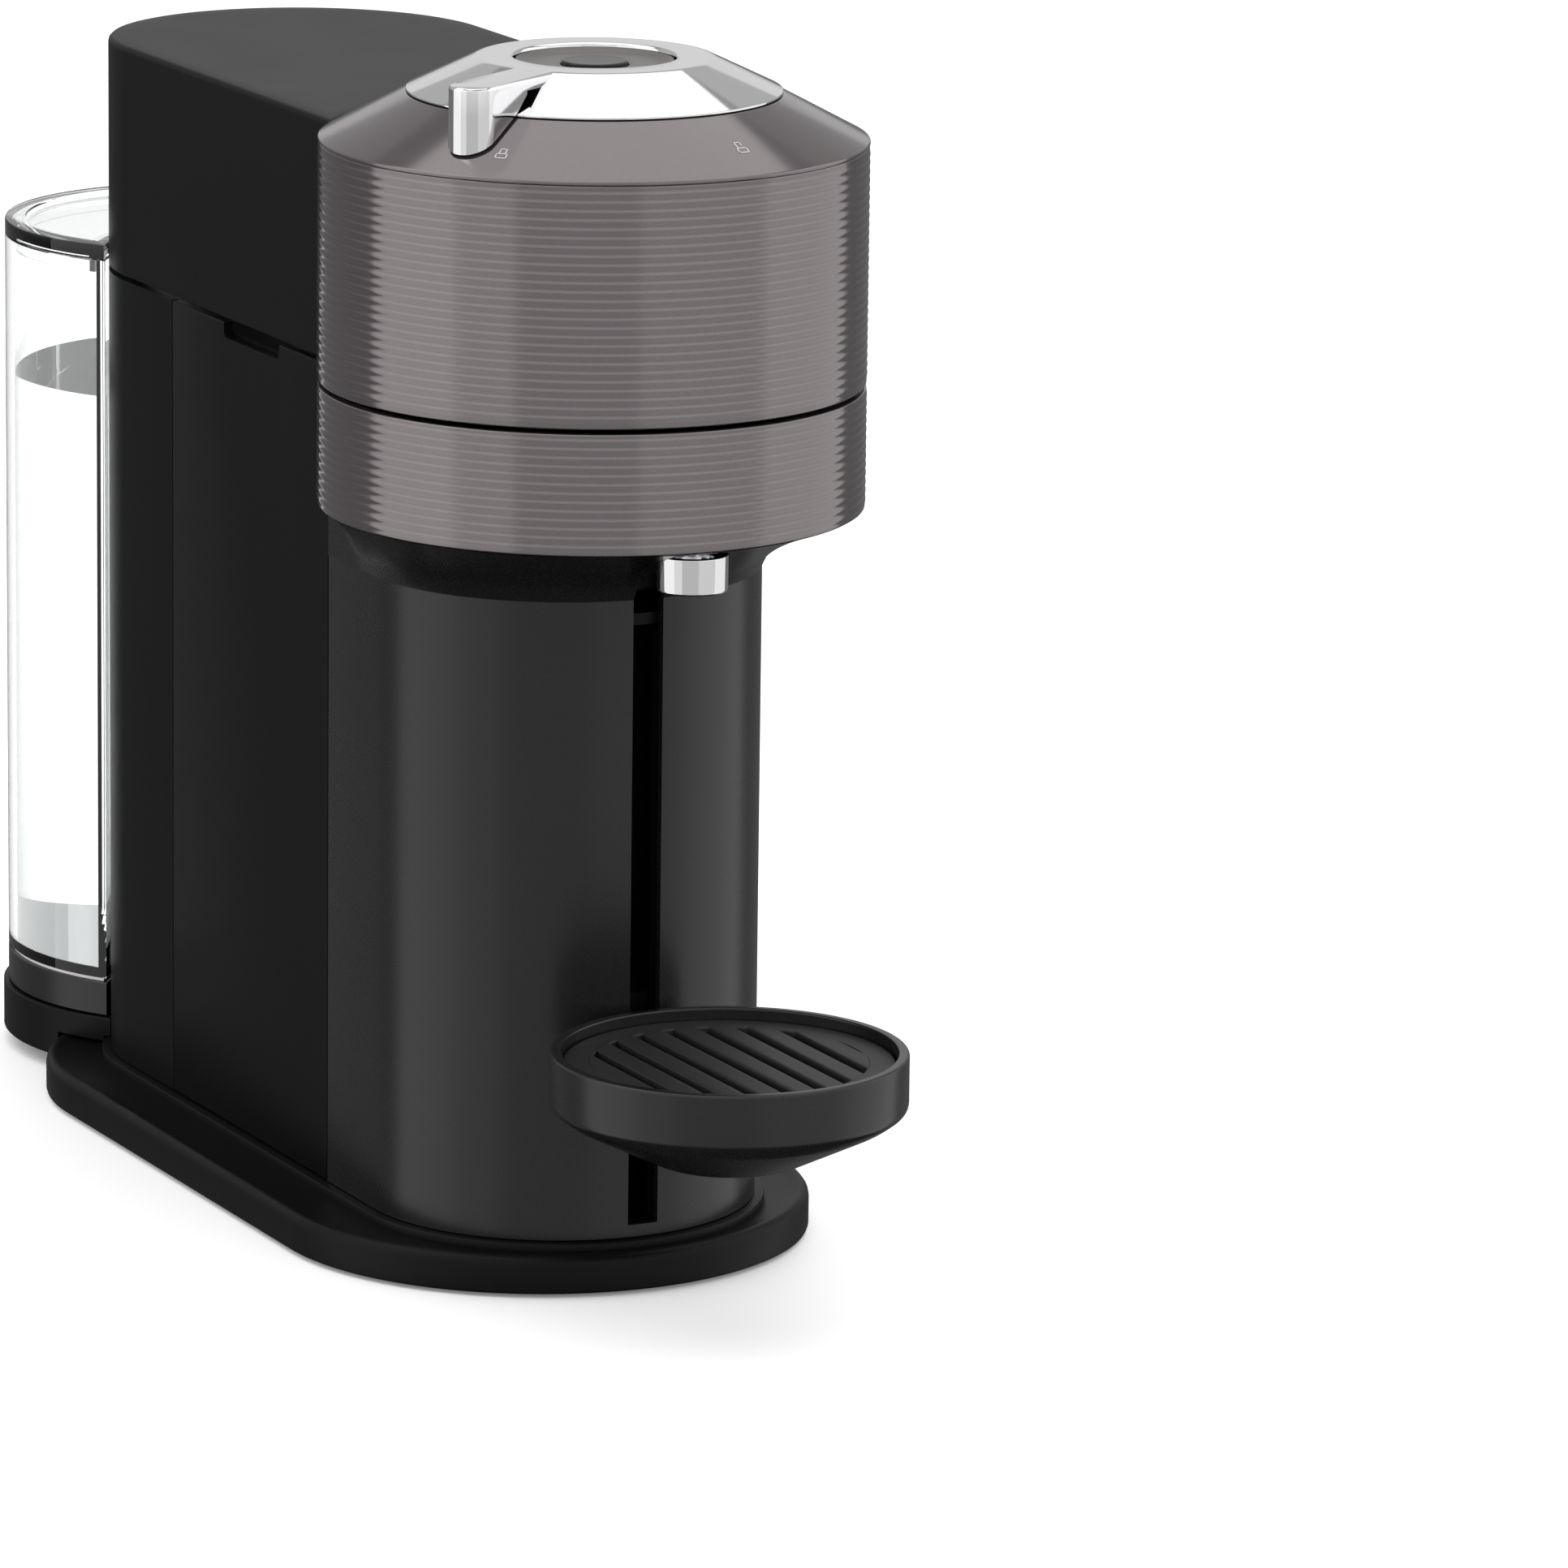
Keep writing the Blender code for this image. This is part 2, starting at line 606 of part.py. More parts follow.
# ================================================================ head shells
def make_head_shells(titanium, black):
    """Ribbed lower ring, ribbed upper shell with its cone, and the rear cover."""
    inner = HEAD_RADIUS - HEAD_WALL
    profile = [(HEAD_RADIUS, BODY_TOP), (HEAD_RADIUS, HEAD_BOTTOM), (inner - LIP_DEPTH, HEAD_BOTTOM),
               (inner - LIP_DEPTH, HEAD_BOTTOM + 0.002), (inner, HEAD_BOTTOM + 0.002), (inner, BODY_TOP)]
    lower = turned("head_lower_ring", profile, titanium, closed=True)
    cut(lower, box("lower_rear_cut", (-FAR, HEAD_CUT_Y, 0.0), (FAR, FAR, FAR)))

    slope = (CONE_TOP - RIDGE_Z) / (HEAD_RADIUS - CONE_RADIUS)
    hole = COLLAR_RADIUS + SLIDE
    thick = HEAD_WALL * 0.8
    profile = [(hole, CONE_TOP), (CONE_RADIUS, CONE_TOP), (HEAD_RADIUS, RIDGE_Z), (HEAD_RADIUS, HEAD_SEAM),
               (inner, HEAD_SEAM), (inner, RIDGE_Z - thick), (hole, RIDGE_Z - thick + slope * (inner - hole))]
    upper = turned("head_upper_shell", profile, titanium, closed=True)
    cut(upper, box("upper_rear_cut", (-FAR, HEAD_CUT_Y, 0.0), (FAR, FAR, RIDGE_Z - thick - 0.001)))

    front = HEAD_CUT_Y + GAP
    outline = [(BODY_HALF, front)] + arc(BODY_REAR_Y, BODY_HALF, 0, 180, FINE // 2) + [(-BODY_HALF, front)]
    cover = outline_solid("rear_cover", [outline], HEAD_SEAM, RIDGE_Z, black)
    opening = [(COLUMN_INNER, 0.0)] + arc(BODY_REAR_Y, COLUMN_INNER, 0, 180, FINE // 2)
    opening.append((-COLUMN_INNER, 0.0))
    cut(cover, outline_solid("cover_hollow", [opening], 0.0, RIDGE_Z - BODY_WALL))
    cut(cover, rod("head_clearance", (0, 0, HEAD_SEAM), (0, 0, FAR), HEAD_RADIUS + GAP, sides=FINE))
    cut(cover, box("hinge_window", (-WINDOW_HALF, BODY_REAR - BODY_WALL * 5, 0.0),
                   (WINDOW_HALF, FAR, HINGE_Z + WINDOW_RISE)))


# ================================================================ hinge and frames
def make_frames(grey, steel):
    """Main frame in the body, head frame with its ears, hinge block and pin."""
    deck_top = DECK_BOTTOM + DECK_THICK
    edge = COLUMN_INNER - SLIDE
    outline = arc(COLUMN_Y, edge, 180, 360, FINE // 2) + [(edge, DECK_REAR_Y), (-edge, DECK_REAR_Y)]
    frame = outline_solid("main_frame", [outline], DECK_BOTTOM, deck_top, grey)
    inside_deck = DECK_BOTTOM + DECK_THICK / 2
    for i, (x, y) in enumerate(both_sides(POST_X, (COLUMN_Y, REAR_POST_Y))):
        join(frame, rod(f"post_{i}", (x, y, BODY_BOTTOM), (x, y, inside_deck), POST_RADIUS, sides=COARSE))
    for i, (x, y) in enumerate(both_sides(PILLAR_X, (PILLAR_FRONT_Y, PILLAR_REAR_Y))):
        join(frame, rod(f"pillar_{i}", (x, y, inside_deck), (x, y, CHAMBER_BOTTOM - GAP), PILLAR_RADIUS,
                        sides=COARSE))
    cut(frame, rod("hub_hole", (0, 0, 0.0), (0, 0, FAR), HUB_RADIUS + SHAFT_ROOM))
    cut(frame, rod("motor_hole", (0, MOTOR_Y, 0.0), (0, MOTOR_Y, FAR), SHAFT_RADIUS + SHAFT_ROOM))

    bottom, top = HEAD_FRAME_BOTTOM, HEAD_FRAME_BOTTOM + HEAD_FRAME_THICK
    disc = rod("head_frame", (0, 0, bottom), (0, 0, top), HEAD_RADIUS - HEAD_WALL - 0.002, grey, sides=FINE)
    ear_start = KNUCKLE_HALF + SLIDE
    wide = COLUMN_INNER - 0.001
    narrow = ear_start + EAR_THICK + 0.0024
    half_tail = [(wide * 0.8, 0.0), (wide * 0.93, HEAD_CUT_Y), (wide, HEAD_CUT_Y + 0.008),
                 (wide, BODY_REAR_Y - 0.01), (narrow, HINGE_Y - 0.012), (narrow, HINGE_Y + 0.002)]
    tail = half_tail + [(-x, y) for x, y in reversed(half_tail)]
    join(disc, outline_solid("frame_tail", [tail], bottom, top))
    for side in (-1, 1):
        a, b = side * ear_start, side * (ear_start + EAR_THICK)
        ear = rod(f"ear_{side}", (a, HINGE_Y, HINGE_Z), (b, HINGE_Y, HINGE_Z), KNUCKLE_RADIUS - GAP)
        link = box(f"ear_link_{side}", (min(a, b), HINGE_Y - KNUCKLE_RADIUS * 0.8, HINGE_Z),
                   (max(a, b), HINGE_Y + KNUCKLE_RADIUS / 3, bottom + HEAD_FRAME_THICK / 3))
        join(disc, ear, link)
    cut(disc, rod("ear_bore", (-FAR, HINGE_Y, HINGE_Z), (FAR, HINGE_Y, HINGE_Z), PIN_RADIUS + GAP))
    cut(disc, rod("frame_hole", (0, 0, 0.0), (0, 0, FAR), PIERCE_SHAFT + SHAFT_ROOM * 2))
    for i in range(3):
        angle = math.radians(120 * i - 30)
        x, y = HEAD_POST_RING * math.cos(angle), HEAD_POST_RING * math.sin(angle)
        join(disc, rod(f"head_post_{i}", (x, y, (bottom + top) / 2), (x, y, RIDGE_Z - HEAD_WALL * 2),
                       HEAD_POST_RADIUS, sides=COARSE))

    knuckle = rod("hinge_block", (-KNUCKLE_HALF, HINGE_Y, HINGE_Z), (KNUCKLE_HALF, HINGE_Y, HINGE_Z),
                  KNUCKLE_RADIUS, black_steel())
    half = KNUCKLE_HALF - 0.0008
    join(knuckle, box("hinge_bracket", (-half, HINGE_Y - KNUCKLE_RADIUS * 0.8, BRACKET_BOTTOM),
                      (half, HINGE_Y + 0.0006, HINGE_Z)))
    cut(knuckle, rod("knuckle_bore", (-FAR, HINGE_Y, HINGE_Z), (FAR, HINGE_Y, HINGE_Z), PIN_RADIUS + GAP))
    pin_half = ear_start + EAR_THICK + 0.002
    rod("hinge_pin", (-pin_half, HINGE_Y, HINGE_Z), (pin_half, HINGE_Y, HINGE_Z), PIN_RADIUS, steel,
        sides=COARSE)


def make_deck_cover(black):
    """The cover that shows when the head is open, round the chamber and the bin."""
    radius = HEAD_RADIUS - HEAD_WALL - GAP * 2
    disc = rod("deck_cover", (0, 0, DECK_COVER_BOTTOM), (0, 0, CHAMBER_TOP), radius, black, sides=FINE)
    half = COLUMN_INNER - GAP
    front = HEAD_CUT_Y + GAP
    outline = [(half, front)] + arc(BODY_REAR_Y, half, 0, 180, FINE // 2) + [(-half, front)]
    join(disc, outline_solid("deck_tail", [outline], DECK_COVER_BOTTOM, CHAMBER_TOP))
    low, high = DECK_COVER_BOTTOM - 0.01, CHAMBER_TOP + 0.01
    cut(disc, rod("chamber_hole", (0, 0, low), (0, 0, high), CHAMBER_RADIUS + GAP * 2, sides=FINE))
    cut(disc, outline_solid("bin_hole", [bin_outline(-GAP)], low, high))
    cut(disc, box("bracket_notch", (-KNUCKLE_HALF, HINGE_Y - KNUCKLE_RADIUS, low), (KNUCKLE_HALF, FAR, high)))
    cut(disc, rod("coupling_hole", (COUPLING_X, COUPLING_Y, low), (COUPLING_X, COUPLING_Y, high),
                  HOSE_RADIUS + SLIDE))


def black_steel():
    return material("blackened_steel", (0.02, 0.02, 0.02), 0.4, 0.6)


# ================================================================ brewing unit
def make_brewer(dark, grey, steel, rubber, chrome, black):
    """Chamber, spinning capsule holder, bearing, drive, piercing plate and spout."""
    inner = CHAMBER_RADIUS - CHAMBER_WALL
    floor = CHAMBER_BOTTOM + CHAMBER_FLOOR
    hole = BEARING_RADIUS + GAP
    profile = [(CHAMBER_RADIUS, CHAMBER_TOP), (CHAMBER_RADIUS, CHAMBER_BOTTOM), (hole, CHAMBER_BOTTOM),
               (hole, floor), (inner, floor), (inner, CHAMBER_TOP)]
    chamber = turned("brew_chamber", profile, dark, sides=HIDDEN, closed=True)
    cut(chamber, box("chamber_outlet", (-0.005, -CHAMBER_RADIUS - 0.01, floor),
                     (0.005, -inner + 0.006, floor + DUCT_HEIGHT - 0.002)))
    ring("rotor_bearing", BEARING_RADIUS, HUB_RADIUS + GAP, BEARING_BOTTOM, floor, steel, sides=MEDIUM)

    cup_floor = HOLDER_TOP - HOLDER_DEPTH
    hub_bottom = PULLEY_BOTTOM - 0.001
    wall = HOLDER_CUP + HOLDER_WALL
    under_rim = HOLDER_TOP - HOLDER_RIM_THICK
    profile = [(0, cup_floor), (HOLDER_CUP * 0.5, cup_floor), (HOLDER_CUP, cup_floor + 0.008),
               (HOLDER_CUP, HOLDER_TOP), (HOLDER_RIM, HOLDER_TOP), (HOLDER_RIM, under_rim),
               (wall, under_rim), (wall, cup_floor + 0.0065),
               (HOLDER_CUP * 0.55, cup_floor - 0.003), (HUB_RADIUS, cup_floor - 0.003),
               (HUB_RADIUS, hub_bottom), (0, hub_bottom)]
    turned("capsule_holder", profile, grey, sides=HIDDEN)
    pulley_top = PULLEY_BOTTOM + PULLEY_HEIGHT
    ring("holder_pulley", HOLDER_PULLEY, HUB_RADIUS + GAP, PULLEY_BOTTOM, pulley_top, dark, sides=HIDDEN)

    motor_top = DECK_BOTTOM - GAP
    rod("drive_motor", (0, MOTOR_Y, motor_top - MOTOR_LENGTH), (0, MOTOR_Y, motor_top), MOTOR_RADIUS, steel)
    profile = [(0, pulley_top), (MOTOR_PULLEY, pulley_top), (MOTOR_PULLEY, PULLEY_BOTTOM),
               (SHAFT_RADIUS, PULLEY_BOTTOM), (SHAFT_RADIUS, DECK_BOTTOM), (0, DECK_BOTTOM)]
    turned("motor_pulley", profile, steel, MOTOR_Y, sides=MEDIUM)
    belt_loop(rubber)

    bottom = HOLDER_TOP + 0.0008
    shaft_top = HEAD_FRAME_BOTTOM + HEAD_FRAME_THICK
    profile = [(0, shaft_top), (PIERCE_SHAFT, shaft_top), (PIERCE_SHAFT, bottom + PIERCE_THICK),
               (PIERCE_RADIUS, bottom + PIERCE_THICK), (PIERCE_RADIUS, bottom), (0, bottom)]
    turned("pierce_plate", profile, steel, sides=MEDIUM)
    ring("brew_head", CHAMBER_RADIUS, PIERCE_SHAFT + SLIDE, CARRIER_BOTTOM, CARRIER_BOTTOM + CARRIER_THICK,
         dark, sides=HIDDEN)
    ring("head_seal", CHAMBER_RADIUS, CHAMBER_RADIUS - SEAL_WIDTH, CHAMBER_TOP + GAP, CARRIER_BOTTOM - GAP,
         rubber, sides=HIDDEN)

    spout_top = CHAMBER_BOTTOM - GAP
    ring("spout_nozzle", SPOUT_RADIUS, SPOUT_RADIUS - SPOUT_WALL, SPOUT_BOTTOM, spout_top, chrome,
         SPOUT_Y, sides=MEDIUM)
    duct_bottom = HEAD_BOTTOM + 0.0005
    front = -(HEAD_RADIUS - HEAD_WALL - LIP_DEPTH) + 0.0012
    duct = box("spout_duct", (-DUCT_HALF, front, duct_bottom),
               (DUCT_HALF, -CHAMBER_RADIUS - GAP, duct_bottom + DUCT_HEIGHT), black)
    cut(duct, box("duct_bore", (-0.004, front + 0.002, duct_bottom - 0.001),
                  (0.004, 0.0, duct_bottom + DUCT_HEIGHT - 0.002)))


def belt_outline(extra):
    """The belt's loop round both pulleys, with its straight runs tangent to them."""
    large, small = HOLDER_PULLEY + extra, MOTOR_PULLEY + extra
    lean = math.degrees(math.asin((large - small) / MOTOR_Y))
    front = arc(0.0, large, 180 - lean, 360 + lean, HIDDEN // 2)
    return front + arc(MOTOR_Y, small, lean, 180 - lean, HIDDEN // 3)


def belt_loop(rubber):
    low = PULLEY_BOTTOM + 0.001
    high = PULLEY_BOTTOM + PULLEY_HEIGHT - 0.001
    outlines = [belt_outline(GAP + BELT_THICK), belt_outline(GAP)]
    return outline_solid("drive_belt", outlines, low, high, rubber)


# ================================================================ lock ring and button
def make_controls(chrome, dark, black, steel):
    """Lock ring with its lever, bayonet collar, dish, brew button, switch board and spring."""
    under = CONE_TOP + GAP
    seat = under + RING_EDGE
    profile = [(RING_HOLE, RING_TOP), (RING_FLAT, RING_TOP), (CONE_RADIUS - 0.0002, seat),
               (CONE_RADIUS - 0.0002, under), (COLLAR_RADIUS - COLLAR_WALL, under),
               (RING_FLAT, RING_TOP - 0.0025), (RING_HOLE, RING_TOP - 0.0025)]
    lock = turned("lock_ring", profile, chrome, closed=True)
    turn = math.radians(-90 - LEVER_ANGLE)
    lever = lever_wedge(turn)
    join(lock, lever)

    bore = COLLAR_RADIUS - COLLAR_WALL
    collar = ring("lock_collar", COLLAR_RADIUS, bore, COLLAR_BOTTOM, under - GAP, steel, sides=HIDDEN)
    reach = COLLAR_RADIUS + LUG_REACH
    for i in range(3):
        angle = turn + math.radians(60 + 120 * i)
        lug = box(f"lug_{i}", (COLLAR_RADIUS - 0.002, -0.006, COLLAR_BOTTOM),
                  (reach, 0.006, COLLAR_BOTTOM + LUG_HEIGHT))
        lug.data.transform(Matrix.Rotation(angle, 4, "Z"))
        join(collar, lug)

    dish_radius = RING_HOLE - GAP * 2
    dish_bottom = DISH_TOP - DISH_THICK
    hole = BUTTON_RADIUS + GAP
    profile = [(dish_radius, DISH_TOP + 0.0012), (dish_radius, dish_bottom), (hole, dish_bottom),
               (hole, DISH_TOP), (dish_radius - 0.002, DISH_TOP)]
    turned("button_dish", profile, dark, closed=True)

    button_top = DISH_TOP + BUTTON_RISE
    stem_bottom = dish_bottom - BUTTON_TRAVEL - 0.0010
    profile = [(0, button_top), (BUTTON_RADIUS - 0.0005, button_top), (BUTTON_RADIUS, button_top - 0.0005),
               (BUTTON_RADIUS, dish_bottom - 0.0005), (STEM_RADIUS, dish_bottom - 0.0005),
               (STEM_RADIUS, stem_bottom), (0, stem_bottom)]
    turned("brew_button", profile, black, sides=MEDIUM)

    board_top = dish_bottom - 0.0005 - SPRING_HEIGHT - 2 * GAP
    outline = arc(0.0, RING_HOLE - 0.001, 0, 345, MEDIUM - 1)
    outline_solid("switch_board", [outline], board_top - 0.0016, board_top,
                  material("board_green", (0.02, 0.12, 0.05), 0.5))
    coil = []
    start = board_top + GAP + SPRING_WIRE
    rise = SPRING_HEIGHT - 2 * SPRING_WIRE
    count = SPRING_TURNS * COARSE
    for i in range(count + 1):
        angle = 2 * math.pi * i / COARSE
        x, y = SPRING_RADIUS * math.cos(angle), SPRING_RADIUS * math.sin(angle)
        coil.append((x, y, start + rise * i / count))
    tube("button_spring", coil, SPRING_WIRE, steel)


def cone_height(radius):
    """Height of the head's cone at a distance from the axis."""
    return CONE_TOP - (CONE_TOP - RIDGE_Z) * (radius - CONE_RADIUS) / (HEAD_RADIUS - CONE_RADIUS)


def lever_wedge(turn):
    """The lever: level with the ring's flat on top, following the cone below."""
    round_start = LEVER_REACH - LEVER_HALF
    outline = [(RING_FLAT - 0.004, -LEVER_HALF), (round_start, -LEVER_HALF)]
    for i in range(1, 8):
        angle = math.radians(-90 + 180 * i / 8)
        outline.append((round_start + LEVER_HALF * math.cos(angle), LEVER_HALF * math.sin(angle)))
    outline += [(round_start, LEVER_HALF), (RING_FLAT - 0.004, LEVER_HALF)]
    wedge = outline_solid("lever_wedge", [outline], RIDGE_Z, RING_TOP)
    wedge.data.transform(Matrix.Rotation(turn, 4, "Z"))
    low, far = RIDGE_Z - 0.02, HEAD_RADIUS + 0.01
    near = CONE_RADIUS - 0.006
    profile = [(near, RING_TOP - 0.003), (CONE_RADIUS, CONE_TOP + LEVER_LIFT),
               (far, cone_height(far) + LEVER_LIFT), (far, low), (near, low)]
    cut(wedge, turned("cone_clearance", profile, closed=True))
    cut(wedge, rod("ring_clearance", (0, 0, low), (0, 0, RING_TOP - 0.0030), near + 0.001, sides=FINE))
    return wedge


# ================================================================ cup support
def make_cup_support(satin, dark, grey):
    """Cup support with its arm, carriage, rail and drip grid."""
    band = SUPPORT_TOP - SUPPORT_BAND
    pocket = SUPPORT_RADIUS - SUPPORT_WALL
    floor = SUPPORT_TOP - SUPPORT_POCKET
    shelf = SUPPORT_TOP - GRID_DROP - GRID_THICK - GAP
    profile = [(0, floor), (pocket - 0.003, floor), (pocket - 0.003, shelf), (pocket, shelf),
               (pocket, SUPPORT_TOP), (SUPPORT_RADIUS, SUPPORT_TOP), (SUPPORT_RADIUS, band),
               (SUPPORT_RADIUS - 0.004, band - 0.0030),
               (SUPPORT_BOSS, SUPPORT_BOTTOM), (0, SUPPORT_BOTTOM)]
    support = turned("cup_support", profile, satin, SUPPORT_Y)
    carriage_front = RAIL_FRONT_Y + RAIL_WALL + SLIDE
    arm_low = SUPPORT_BOTTOM + 0.003
    join(support, box("support_arm", (-ARM_HALF, SUPPORT_Y + SUPPORT_RADIUS - 0.006, arm_low),
                      (ARM_HALF, carriage_front - GAP, floor - 0.001)))
    carriage_half = RAIL_HALF - RAIL_WALL - SLIDE
    carriage = box("support_carriage", (-carriage_half, carriage_front, SUPPORT_BOTTOM),
                   (carriage_half, RAIL_FRONT_Y + RAIL_DEPTH - RAIL_WALL - SLIDE,
                    SUPPORT_BOTTOM + CARRIAGE_HEIGHT), grey)
    bevel(carriage, 0.0008)

    rail = box("support_rail", (-RAIL_HALF, RAIL_FRONT_Y, BODY_BOTTOM),
               (RAIL_HALF, RAIL_FRONT_Y + RAIL_DEPTH, RAIL_TOP), dark)
    inside = RAIL_HALF - RAIL_WALL
    cut(rail, box("rail_hollow", (-inside, RAIL_FRONT_Y + RAIL_WALL, BODY_BOTTOM + 0.002),
                  (inside, RAIL_FRONT_Y + RAIL_DEPTH - RAIL_WALL, RAIL_TOP + 0.01)))
    cut(rail, box("rail_slot", (-SLOT_HALF, RAIL_FRONT_Y - 0.002, SLOT_BOTTOM),
                  (SLOT_HALF, RAIL_FRONT_Y + RAIL_WALL + 0.001, RAIL_TOP + 0.01)))

    grid_radius = pocket - SLIDE
    low = SUPPORT_TOP - GRID_DROP - GRID_THICK
    top = low + GRID_THICK
    grid = rod("drip_grid", (0, SUPPORT_Y, low), (0, SUPPORT_Y, top), grid_radius, dark, sides=FINE)
    for i in range(GRID_SLOTS):
        offset = (i - (GRID_SLOTS - 1) / 2) * GRID_SLOT_PITCH
        half = math.sqrt((grid_radius - 0.006) ** 2 - offset ** 2)
        cut(grid, box(f"grid_slot_{i}", (offset - GRID_SLOT_WIDTH / 2, SUPPORT_Y - half, low - 0.01),
                      (offset + GRID_SLOT_WIDTH / 2, SUPPORT_Y + half, low + 0.01)))


# ================================================================ water tank
def make_tank(clear, black, rubber):
    """Tank, lid, valve, dock and its port."""
    tank = outline_solid("water_tank", [crescent()], TANK_BOTTOM, TANK_TOP, clear)
    cut(tank, outline_solid("tank_hollow", [crescent(TANK_WALL)], TANK_FLOOR, TANK_TOP + 0.02))
    under = TANK_FLOOR - TANK_WALL
    cut(tank, outline_solid("tank_skirt", [crescent(TANK_WALL)], TANK_BOTTOM - 0.01, under))
    cut(tank, rod("tank_outlet", (0, PORT_Y, 0.0), (0, PORT_Y, TANK_FLOOR + 0.01), VALVE_STEM + SLIDE))
    reach = PORT_RADIUS + SLIDE * 2
    cut(tank, box("port_notch", (-reach, BODY_REAR - 0.01, 0.0), (reach, BODY_REAR + 0.01, under - PORT_DROP)))

    lid_bottom = TANK_TOP + GAP
    lid = outline_solid("tank_lid", [crescent()], lid_bottom, LID_TOP, clear)
    cut(lid, outline_solid("lid_dish", [crescent(LID_RIM)], LID_TOP - LID_DISH, LID_TOP + 0.01))
    tongue = TANK_WALL + SLIDE
    join(lid, outline_solid("lid_tongue", [crescent(tongue)], lid_bottom - LID_TONGUE, lid_bottom + 0.0005))
    cut(lid, outline_solid("tongue_hollow", [crescent(tongue + LID_TONGUE_WALL)], 0.0, lid_bottom))

    head = TANK_FLOOR + GAP
    stem = under - PORT_DROP
    profile = [(0, head + 0.0022), (VALVE_RADIUS, head + 0.0022), (VALVE_RADIUS, head), (VALVE_STEM, head),
               (VALVE_STEM, stem), (0, stem)]
    turned("tank_valve", profile, rubber, PORT_Y, sides=MEDIUM)

    dock = outline_solid("tank_dock", [crescent(-DOCK_MARGIN)], DOCK_BOTTOM, TANK_BOTTOM - GAP, black)
    base = stadium(BASE_HALF, BASE_FRONT_Y, BASE_REAR_Y, -GAP)
    cut(dock, outline_solid("dock_base_cut", [base], -0.01, BASE_TOP + GAP))
    step = stadium(BODY_HALF + PLINTH_RIM, COLUMN_Y, BODY_REAR_Y, -GAP)
    cut(dock, outline_solid("dock_plinth_cut", [step], 0.0, PLINTH_TOP + GAP))
    body = stadium(BODY_HALF, COLUMN_Y, BODY_REAR_Y, -GAP)
    cut(dock, outline_solid("dock_body_cut", [body], 0.0, FAR))
    cut(dock, rod("port_seat", (0, PORT_Y, DOCK_BOTTOM + 0.003), (0, PORT_Y, FAR), PORT_RADIUS + GAP))
    ring("dock_port", PORT_RADIUS, VALVE_STEM + SLIDE, DOCK_BOTTOM + 0.003 + GAP, stem - 0.0010, rubber,
         PORT_Y, sides=MEDIUM)


# ================================================================ inside the body
def make_inside(dark, grey, steel, rubber, black):
    """Pump, boiler block, flow meter, hoses, control board and used-capsule bin."""
    top = PUMP_BOTTOM + PUMP_LENGTH
    neck = PUMP_RADIUS * 0.6
    profile = [(0, top), (neck, top), (neck, top - 0.012), (PUMP_RADIUS, top - 0.014),
               (PUMP_RADIUS, PUMP_BOTTOM + 0.014), (neck, PUMP_BOTTOM + 0.012), (neck, BODY_BOTTOM),
               (0, BODY_BOTTOM)]
    turned("water_pump", profile, steel, PUMP_Y, sides=MEDIUM)

    half_x, half_y = BOILER_SIZE[0] / 2, BOILER_SIZE[1] / 2
    boiler = box("boiler_block", (-half_x, BOILER_Y - half_y, BOILER_BOTTOM),
                 (half_x, BOILER_Y + half_y, BOILER_BOTTOM + BOILER_SIZE[2]), grey)
    bevel(boiler, 0.003)

    ring("flow_meter", METER_RADIUS, HOSE_RADIUS, BODY_BOTTOM, BODY_BOTTOM + METER_HEIGHT, dark, METER_Y,
         sides=MEDIUM)

    box("control_board", (BOARD_X - BOARD_SIZE[0], BOARD_Y - BOARD_SIZE[1] / 2, BOARD_Z),
        (BOARD_X, BOARD_Y + BOARD_SIZE[1] / 2, BOARD_Z + BOARD_SIZE[2]),
        material("circuit_green", (0.02, 0.12, 0.05), 0.5))

    start = PORT_Y - PORT_RADIUS - GAP
    end = METER_Y + METER_RADIUS + GAP
    tube("inlet_hose", [(0, start, HOSE_Z), (0, end, HOSE_Z)], HOSE_RADIUS, clear_hose())
    meter_front = METER_Y - METER_RADIUS - GAP
    pump_rear = PUMP_Y + neck + GAP
    tube("pump_hose", [(0, meter_front, HOSE_Z), (0, pump_rear, HOSE_Z)], HOSE_RADIUS, clear_hose())

    capsule_bin = outline_solid("capsule_bin", [bin_outline(0.0)], BIN_BOTTOM, CHAMBER_TOP, dark)
    cut(capsule_bin, outline_solid("bin_hollow", [bin_outline(BIN_WALL)], BIN_BOTTOM + BIN_WALL, FAR))

    top = BOILER_BOTTOM + BOILER_SIZE[2] + GAP
    lane = (REAR_POST_Y + POST_RADIUS + BIN_FRONT_Y) / 2
    wall_x = -(COLUMN_INNER + BIN_HALF) / 2
    seam = HEAD_SEAM - GAP
    rise = [(HOSE_X, BOILER_Y, top), (HOSE_X, BOILER_Y, top + 0.006), (HOSE_X, lane - 0.004, top + 0.020),
            (wall_x + 0.008, lane + 0.002, top + 0.028), (wall_x, lane + 0.020, top + 0.040),
            (wall_x, lane + 0.050, top + 0.070), (wall_x, BODY_REAR_Y - 0.004, seam - 0.040),
            (COUPLING_X, COUPLING_Y, seam - 0.020), (COUPLING_X, COUPLING_Y, seam - 0.010),
            (COUPLING_X, COUPLING_Y, seam)]
    tube("brew_hose", smooth_path(rise), HOSE_RADIUS, clear_hose())

    level = (CARRIER_BOTTOM + HEAD_FRAME_BOTTOM) / 2
    across = [(COUPLING_X, COUPLING_Y, HEAD_SEAM + GAP), (COUPLING_X, COUPLING_Y, HEAD_SEAM + 0.004),
              (COUPLING_X + 0.003, COUPLING_Y - 0.008, level),
              (COUPLING_X + 0.008, COUPLING_Y - 0.026, level),
              (HOSE_X, BIN_FRONT_Y + 0.018, level), (0.0, CHAMBER_RADIUS + 0.026, level),
              (0.0, CHAMBER_RADIUS + GAP, level)]
    tube("head_hose", smooth_path(across), HOSE_RADIUS, clear_hose())


